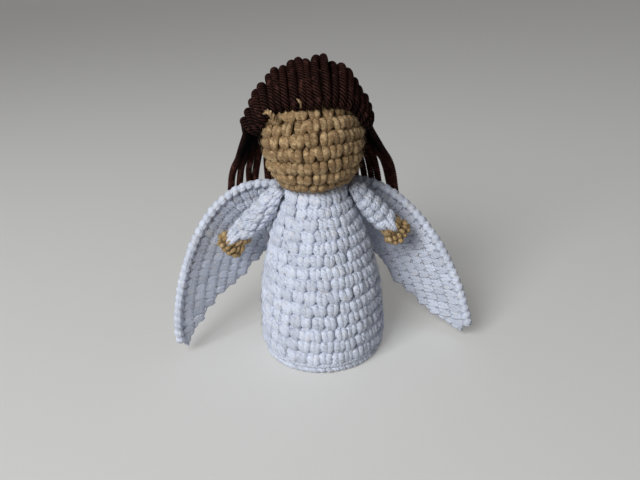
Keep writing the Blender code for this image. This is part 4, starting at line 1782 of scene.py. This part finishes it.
@dataclass
class Wing:
    """A flat crocheted wing with a rolled front edge, sewn to the back along a straight seam."""

    side: Side
    lead_root: tuple[float, float]
    lead_tip: tuple[float, float]
    trail_root: tuple[float, float]
    trail_tip: tuple[float, float]
    hinge: tuple[float, float, float] = (6.5 * MM, 17.543 * MM, 58.5 * MM)
    rise: float = -0.42495
    start: float = 8.65 * MM
    seam: float = 15.0 * MM
    tip_x: float = 61.8 * MM
    tip_y: float = -8.5 * MM
    tip_top: float = 9.3 * MM
    tip_bottom: float = 3.4 * MM
    tip_inset: float = 4.0 * MM
    curl: float = 2.1
    slope_fade: float = 2.5
    share_most: float = 1.2
    steps: int = 3
    step_depth: float = 1.6 * MM
    run_in: float = 0.3
    lead_points: int = 521
    trail_points: int = 200
    sheet: float = 1.3 * MM
    sheet_cells: tuple[int, int] = (48, 32)
    sheet_rim: int = 8
    rows: int = 9
    row_height: float = 3.8 * MM
    row_start: float = 0.8
    row_middle: float = 0.45
    row_least: int = 8
    root_gap: float = 0.5 * MM
    stitch_width: float = 3.4 * MM
    stitch_fat: float = 0.86
    stitch_root: float = 1.9 * MM
    stitch_relief: float = 0.24
    stitch_lift: float = 0.4 * MM
    stitch_least: float = 0.75 * MM
    uneven: float = 0.04
    hem_points: int = 120
    hem_step: float = 1.0 * MM
    hem_gauge: float = 3.4 * MM
    hem_lift: float = -0.6 * MM
    hem_grain: float = 1.05
    hem_slant: float = -0.6
    edge_yarn: float = 4.2 * MM
    edge_points: int = 90
    edge_gauge: float = 3.2 * MM
    edge_stretch: float = 1.2
    edge_core: float = 0.7
    # Painted shade on the core under the edge wraps
    edge_core_shade: float = -0.4
    border_reach: float = 0.0
    border_points: int = 12
    whip_turns: int = 6
    whip_points: int = 121
    whip_short: float = 2.0 * MM
    whip_radius: float = 0.9 * MM
    whip_yarn: float = 0.75 * MM
    seam_core: float = 0.9 * MM
    seam_points: int = 9
    # Painted shade on the core under the whip stitches
    seam_core_shade: float = -0.6

    @property
    def body(self) -> Body:
        """The body that the wing rides on."""
        return Body(self.side.label + "_wing")

    def __post_init__(self) -> None:
        """Draw the front edge and the directions in from it."""
        shares = np.linspace(-self.run_in, 1.0, self.lead_points)
        root = np.array((self.start, self.hinge[2] + self.seam / 2))
        tip = np.array((self.tip_x, self.tip_top))
        knots = (root, root + np.array(self.lead_root), tip + np.array(self.lead_tip), tip)
        self.lead = bezier(knots, np.maximum(shares, 0.0))
        self.lead += np.minimum(shares, 0.0)[:, None] * 3 * np.array(self.lead_root)
        heading = unit_rows(np.gradient(self.lead, axis=0))
        self.inward = np.column_stack([heading[:, 1], -heading[:, 0]])
        self.first = int(np.argmax(shares >= 0.0))

    def trail(self, shares: np.ndarray) -> np.ndarray:
        """Find points on the stepped back edge.

        Args:
            shares: Shares of the way from root to tip.

        Returns:
            A row of (x, z) for each.
        """
        root = np.array((self.start, self.hinge[2] - self.seam / 2))
        tip = np.array((self.tip_x - self.tip_inset, self.tip_bottom))
        knots = (root, root + np.array(self.trail_root), tip + np.array(self.trail_tip), tip)
        line = bezier(knots, shares)
        wave = np.sin(np.pi * self.steps * shares) ** 2 * np.sin(np.pi * shares)
        line[:, 1] -= self.step_depth * wave
        return line

    def at(self, flat: np.ndarray, out: np.ndarray) -> np.ndarray:
        """Places on the wing.

        Args:
            flat: Rows of (x, z) as seen from the front.
            out: Distances to the front of the wing's middle.

        Returns:
            A row of coordinates for each.
        """
        hinge_x, hinge_y, hinge_z = self.hinge
        span = self.tip_x - hinge_x
        share = np.clip((flat[:, 0] - hinge_x) / span, 0.0, self.share_most)
        level = np.maximum(1 - share, 0.0)
        drop = flat[:, 1] - hinge_z
        deep = hinge_y + (self.tip_y - hinge_y) * share**self.curl
        deep += self.rise * drop * level**self.slope_fade
        by_x = (self.tip_y - hinge_y) * self.curl * share ** (self.curl - 1) / span
        by_x -= self.rise * drop * self.slope_fade * level ** (self.slope_fade - 1) / span
        by_z = self.rise * level**self.slope_fade
        front = unit_rows(np.column_stack([by_x, -np.ones_like(by_x), by_z]))
        places = np.column_stack([flat[:, 0], deep, flat[:, 1]]) + front * out[:, None]
        places[:, 0] *= self.side.value
        return places

    def inside(self, flat: np.ndarray) -> np.ndarray:
        """Tell which points lie between the back edge and the rolled front edge.

        Args:
            flat: Rows of (x, z).

        Returns:
            Whether each is inside.
        """
        lead = self.lead[self.first :] + self.inward[self.first :] * self.edge_yarn
        ring = np.vstack([lead, self.trail(np.linspace(1.0, 0.0, self.trail_points))])
        after = np.roll(ring, -1, axis=0)
        found = np.zeros(len(flat), bool)
        for (x0, z0), (x1, z1) in zip(ring, after):
            crosses = (z0 > flat[:, 1]) != (z1 > flat[:, 1])
            with np.errstate(divide="ignore", invalid="ignore"):
                reach = x0 + (flat[:, 1] - z0) * (x1 - x0) / (z1 - z0)
            found ^= crosses & (flat[:, 0] < reach)
        return found

    def dress(self) -> None:
        """Make the wing's pieces."""
        stitches = self.dress_stitches()
        self.dress_sheet()
        self.dress_edge()
        self.dress_seam()

    def dress_sheet(self) -> None:
        shape = new_shape()
        long_cells, wide_cells = self.sheet_cells
        bmesh.ops.create_grid(
            shape, x_segments=long_cells, y_segments=wide_cells, size=1.0, calc_uvs=True
        )
        flat = np.array([vert.co for vert in shape.verts]) / 2 + 0.5
        along, turn = flat[:, 0], flat[:, 1]
        rise = 1 - np.abs(2 * turn - 1)
        low = self.trail(along)
        lead = (self.lead + self.inward * (self.edge_yarn / 2))[self.first :]
        shares = np.linspace(0.0, 1.0, len(lead))
        high = np.column_stack([np.interp(along, shares, column) for column in lead.T])
        high[:, 0] = np.maximum(high[:, 0], self.start)
        thick = self.sheet * (1 - (2 * rise - 1) ** self.sheet_rim)
        out = np.where(turn < 0.5, 0.5, -0.5) * thick
        places = self.at(low + (high - low) * rise[:, None], out)
        for vert, place in zip(shape.verts, places):
            vert.co = place
        bmesh.ops.remove_doubles(shape, verts=shape.verts, dist=MERGE)
        rims = [edge for edge in shape.edges if edge.is_boundary]
        bmesh.ops.holes_fill(shape, edges=rims, sides=0)
        area = sum(face.calc_area() for face in shape.faces) / 2
        work = YarnWork()
        # Painted shade on the cloth under the wing's stitches
        work.add_shape(shape, LINING_PAINTED_SHADE)
        name = f"{self.side.label}_wing_cloth"
        cloth = work.piece(name, WHITE_YARN, self.body, [f"{self.side.label}_wing_panel"])
        edges = self.at(low, np.zeros(len(low))), self.at(high, np.zeros(len(high)))
        long = float(arc_marks(self.at(lead, np.zeros(len(lead))))[-1])

    def dress_stitches(self) -> bpy.types.Object:
        """Work rows along the front edge on both faces, and the hem on the back edge.

        Returns:
            The stitches.
        """
        work = YarnWork()
        chance = random.Random(SEED + 9 + self.side.value)
        drawn = mesh_points(LOOPS.stitch)
        fat = (self.row_height + self.stitch_width) / 2 / CELL * self.stitch_fat
        relief = (drawn[:, 2] + self.stitch_root) * fat * self.stitch_relief
        out = np.maximum(relief + self.stitch_lift, self.stitch_least)
        for row in range(self.rows):
            top = self.edge_yarn * self.row_start + row * self.row_height
            curve = self.lead + self.inward * (top + self.row_height * self.row_middle)
            kept = self.inside(curve) & (curve[:, 0] > self.start + self.root_gap)
            if kept.sum() < self.row_least:
                continue
            spots = np.flatnonzero(kept)
            marks = arc_marks(curve)
            first, last = marks[spots[0]], marks[spots[-1]]
            count = max(1, round((last - first) / self.stitch_width))
            width = (last - first) / count
            index = np.arange(len(curve))
            for place in range(count):
                for face in (1, -1):
                    across = drawn[:, 0] / CELL + chance.uniform(-self.uneven, self.uneven)
                    along = first + (place + 0.5 + across) * width
                    spot = np.interp(along, marks, index)
                    lead = np.column_stack([np.interp(spot, index, c) for c in self.lead.T])
                    inward = np.column_stack([np.interp(spot, index, c) for c in self.inward.T])
                    up = drawn[:, 1] / CELL + chance.uniform(-self.uneven, self.uneven)
                    deep = top + self.row_height * up
                    flat = lead + inward * deep[:, None]
                    work.lay(LOOPS.stitch, self.at(flat, out * face), chance.uniform(-1, 1))
        self.hem(work)
        name = f"{self.side.label}_wing_stitches"
        return work.piece(name, WHITE_YARN, self.body, [])

    def hem(self, work: YarnWork) -> None:
        """Lay the edge stitches of the back edge and the tip.

        Args:
            work: Piece that takes them.
        """
        line = self.trail(np.linspace(0.0, 1.0, self.hem_points))
        line = np.vstack([line, self.lead[-1:] + self.inward[-1:] * self.edge_yarn])
        edge = self.at(line, np.zeros(len(line)))
        inner = self.at(line + np.array((0.0, self.hem_step)), np.zeros(len(line)))
        path = SeamPath(edge, edge - inner)
        path.lay_grains(
            work, self.hem_gauge, self.hem_lift, self.hem_grain, SEED + 12, self.hem_slant
        )

    def dress_edge(self) -> None:
        """Wrap the rolled front edge."""
        work = YarnWork()
        lead = self.lead[self.first :]
        inward = self.inward[self.first :]
        flat = lead + inward * (self.edge_yarn / 2)
        flat[:, 0] = np.maximum(flat[:, 0], self.start)
        reach = np.linspace(0.0, self.border_reach, self.border_points)[1:, None]
        tail = reach * unit_rows(lead[-1:] - lead[-2:-1])
        flat, lead = np.vstack([flat, flat[-1] + tail]), np.vstack([lead, lead[-1] + tail])
        skip = max(1, len(flat) // self.edge_points)
        flat, lead = flat[::skip], lead[::skip]
        edge = self.at(flat, np.zeros(len(flat)))
        outer = self.at(lead, np.zeros(len(lead)))
        path = SeamPath(edge, outer - edge)
        path.lay_wraps(work, self.edge_gauge, self.edge_stretch, SEED + 14)
        core = self.edge_yarn / 2 * self.edge_core
        # Painted shade on the core under the edge wraps
        work.add_yarn(edge, core, PlySection(sides=10), self.edge_core_shade)
        name = f"{self.side.label}_wing_border"
        work.piece(name, WHITE_YARN, self.body, [f"{self.side.label}_wing_edging"])

    def dress_seam(self) -> None:
        """Whip the wing's root to the back of the gown."""
        up = np.array((0.0, self.rise, 1.0))
        hinge = np.array(self.hinge) * (self.side.value, 1, 1)
        turns = np.linspace(0.0, self.whip_turns * TAU, self.whip_points)
        shares = turns / turns[-1] - 0.5
        side = np.array((1.0, 0.0, 0.0))
        deep = np.cross(up / np.linalg.norm(up), side)
        line = hinge + up * (self.seam - self.whip_short) * shares[:, None]
        whip = np.column_stack([np.cos(turns), np.sin(turns)]) * self.whip_radius
        work = YarnWork()
        work.add_yarn(line + whip @ np.array((side, deep)), self.whip_yarn, PlySection(sides=8))
        core = hinge + up * self.seam * np.linspace(-0.5, 0.5, self.seam_points)[:, None]
        # Painted shade on the core under the whip stitches
        work.add_yarn(core, self.seam_core, PlySection(sides=8), self.seam_core_shade)
        name = f"{self.side.label}_wing_sewing"
        work.piece(name, WHITE_YARN, Body.DOLL, [f"{self.side.label}_wing_seam"])


def bezier(knots: Sequence[np.ndarray], shares: np.ndarray) -> np.ndarray:
    """Points on a cubic curve.

    Args:
        knots: Its four control points.
        shares: Shares along it.

    Returns:
        A row for each share.
    """
    ahead = shares[:, None]
    rest = 1 - ahead
    near = knots[0] * rest**3 + knots[1] * 3 * rest**2 * ahead
    return near + knots[2] * 3 * rest * ahead**2 + knots[3] * ahead**3


@dataclass(frozen=True)
class Lamp:
    """A square lamp: where it hangs, how large and how strong it is."""

    name: str
    place: tuple[float, float, float]
    size: float
    power: float
    colour: Colour

    def hang(self, target: Vector) -> None:
        """Hang the lamp so that it faces a target.

        Args:
            target: Where it points.
        """
        data = bpy.data.lights.new(self.name, "AREA")
        data.size, data.energy, data.color = self.size, self.power, self.colour
        lamp = bpy.data.objects.new(self.name, data)
        bpy.context.scene.collection.objects.link(lamp)
        turn = (target - Vector(self.place)).to_track_quat("-Z", "Y").to_matrix().to_4x4()
        lamp.matrix_world = Matrix.Translation(self.place) @ turn


KEY_LIGHT = Lamp("key_light", (-0.48, -0.64, 0.66), 0.55, 8.6, (0.95, 0.98, 1.0))
FILL_LIGHT = Lamp("fill_light", (0.75, -0.55, 0.45), 0.6, 0.1, (0.93, 0.97, 1.0))


@dataclass
class Studio:
    """The camera, the pale floor and the soft lights."""

    focal: float = 600.0
    sensor: float = 36.0
    image_width: float = 640.0
    place: tuple[float, float, float] = (0.0, -0.215, 0.150)
    pitch: float = 25.6
    roll: float = -3.2
    shift: float = 1.5
    nearest: float = 0.01
    farthest: float = 20.0
    floor_half: float = 4.0
    floor_bend: float = 1.5
    floor_segments: int = 16
    floor_colour: Colour = (0.62, 0.61, 0.59)
    floor_glow: float = 0.3
    floor_roughness: float = 0.85
    floor_specular: float = 0.2
    grain_scale: float = 900.0
    grain_dark: float = 0.97
    aim: tuple[float, float, float] = (0.0, 0.0, 0.055)
    sky_colour: Colour = (0.93, 0.95, 1.0)
    sky_strength: float = 0.08

    def build(self) -> None:
        """Make everything around the doll."""
        self.make_camera()
        self.make_floor()
        self.make_lights()

    def make_camera(self) -> None:
        """Stand the camera where the photograph was taken from."""
        data = bpy.data.cameras.new("camera")
        data.sensor_width = self.sensor
        data.lens = self.focal / self.image_width * self.sensor
        data.shift_x = self.shift / self.image_width
        data.clip_start, data.clip_end = self.nearest, self.farthest
        camera = bpy.data.objects.new("camera", data)
        bpy.context.scene.collection.objects.link(camera)
        tilt = Matrix.Rotation(math.radians(90 - self.pitch), 4, "X")
        roll = Matrix.Rotation(math.radians(self.roll), 4, "Z")
        camera.matrix_world = Matrix.Translation(self.place) @ tilt @ roll
        bpy.context.scene.camera = camera

    def make_floor(self) -> None:
        """Lay a wide floor that curves up into a backdrop."""
        shape = bmesh.new()
        bmesh.ops.create_grid(shape, x_segments=1, y_segments=1, size=self.floor_half)
        back = [edge for edge in shape.edges if all(vert.co.y > 0 for vert in edge.verts)]
        wall = bmesh.ops.extrude_edge_only(shape, edges=back)["geom"]
        raised = [part for part in wall if isinstance(part, bmesh.types.BMVert)]
        bmesh.ops.translate(shape, verts=raised, vec=(0.0, 0.0, self.floor_half))
        bmesh.ops.bevel(
            shape,
            geom=back,
            offset=self.floor_bend,
            offset_type="OFFSET",
            affect="EDGES",
            segments=self.floor_segments,
            profile=0.5,
            material=-1,
        )
        bmesh.ops.recalc_face_normals(shape, faces=shape.faces)
        mesh = bpy.data.meshes.new("floor")
        shape.to_mesh(mesh)
        shape.free()
        mesh.shade_smooth()
        mesh.materials.append(self.floor_material())
        floor = bpy.data.objects.new("floor", mesh)
        bpy.context.scene.collection.objects.link(floor)

    def floor_material(self) -> bpy.types.Material:
        """Build the floor's material.

        Returns:
            A matt paper that the camera alone sees a little lighter.
        """
        net = Nodes("floor_paper")
        place = net.add("ShaderNodeTexCoord").outputs["Object"]
        grain = net.noise(place, self.grain_scale)
        dark = tuple(self.grain_dark * part for part in self.floor_colour)
        seen = net.add("ShaderNodeLightPath").outputs["Is Camera Ray"]
        net.feed(
            net.shader,
            {
                "Base Color": net.mix(grain, (*dark, 1.0), (*self.floor_colour, 1.0)),
                "Roughness": self.floor_roughness,
                "Specular IOR Level": self.floor_specular,
                "Emission Color": (*self.floor_colour, 1.0),
                "Emission Strength": net.math("MULTIPLY", seen, self.floor_glow),
            },
        )
        return net.material

    def make_lights(self) -> None:
        """Hang a large key light to the front left, a weak fill to the right and a pale sky."""
        for lamp in (KEY_LIGHT, FILL_LIGHT):
            lamp.hang(Vector(self.aim))
        world = bpy.data.worlds.new("sky")
        world.use_nodes = True
        sky = world.node_tree.nodes["Background"]
        sky.inputs["Color"].default_value = (*self.sky_colour, 1.0)
        sky.inputs["Strength"].default_value = self.sky_strength
        bpy.context.scene.world = world


def set_view() -> None:
    """Show colours as they are written."""
    bpy.context.scene.view_settings.view_transform = "Standard"


def main() -> None:
    """Build the scene."""
    logging.basicConfig(level=logging.INFO, format="%(name)s: %(message)s")
    set_view()
    Studio().build()
    Hair().dress()
    Gown().dress()
    Head().dress()
    arms = (
        Arm(
            Side.LEFT,
            length=29.0 * MM,
            direction=Vector((0.66, 0.07, -0.75)).normalized(),
        ),
        Arm(
            Side.RIGHT,
            length=32.5 * MM,
            direction=Vector((-0.70, 0.04, -0.71)).normalized(),
            slant=3.2 * MM,
            tongue_lean=0.35,
        ),
    )
    wings = (
        Wing(
            Side.LEFT,
            lead_root=(10.0 * MM, 9.0 * MM),
            lead_tip=(-8.3 * MM, 49.1 * MM),
            trail_root=(27.7 * MM, -31.9 * MM),
            trail_tip=(-24.7 * MM, 12.7 * MM),
            border_reach=2.4 * MM,
        ),
        Wing(
            Side.RIGHT,
            lead_root=(42.4 * MM, 17.4 * MM),
            lead_tip=(0.8 * MM, 13.0 * MM),
            trail_root=(18.1 * MM, -25.8 * MM),
            trail_tip=(-7.6 * MM, 23.1 * MM),
            border_reach=3.6 * MM,
        ),
    )
    for part in (*arms, *wings):
        part.dress()


if __name__ == "__main__":
    main()
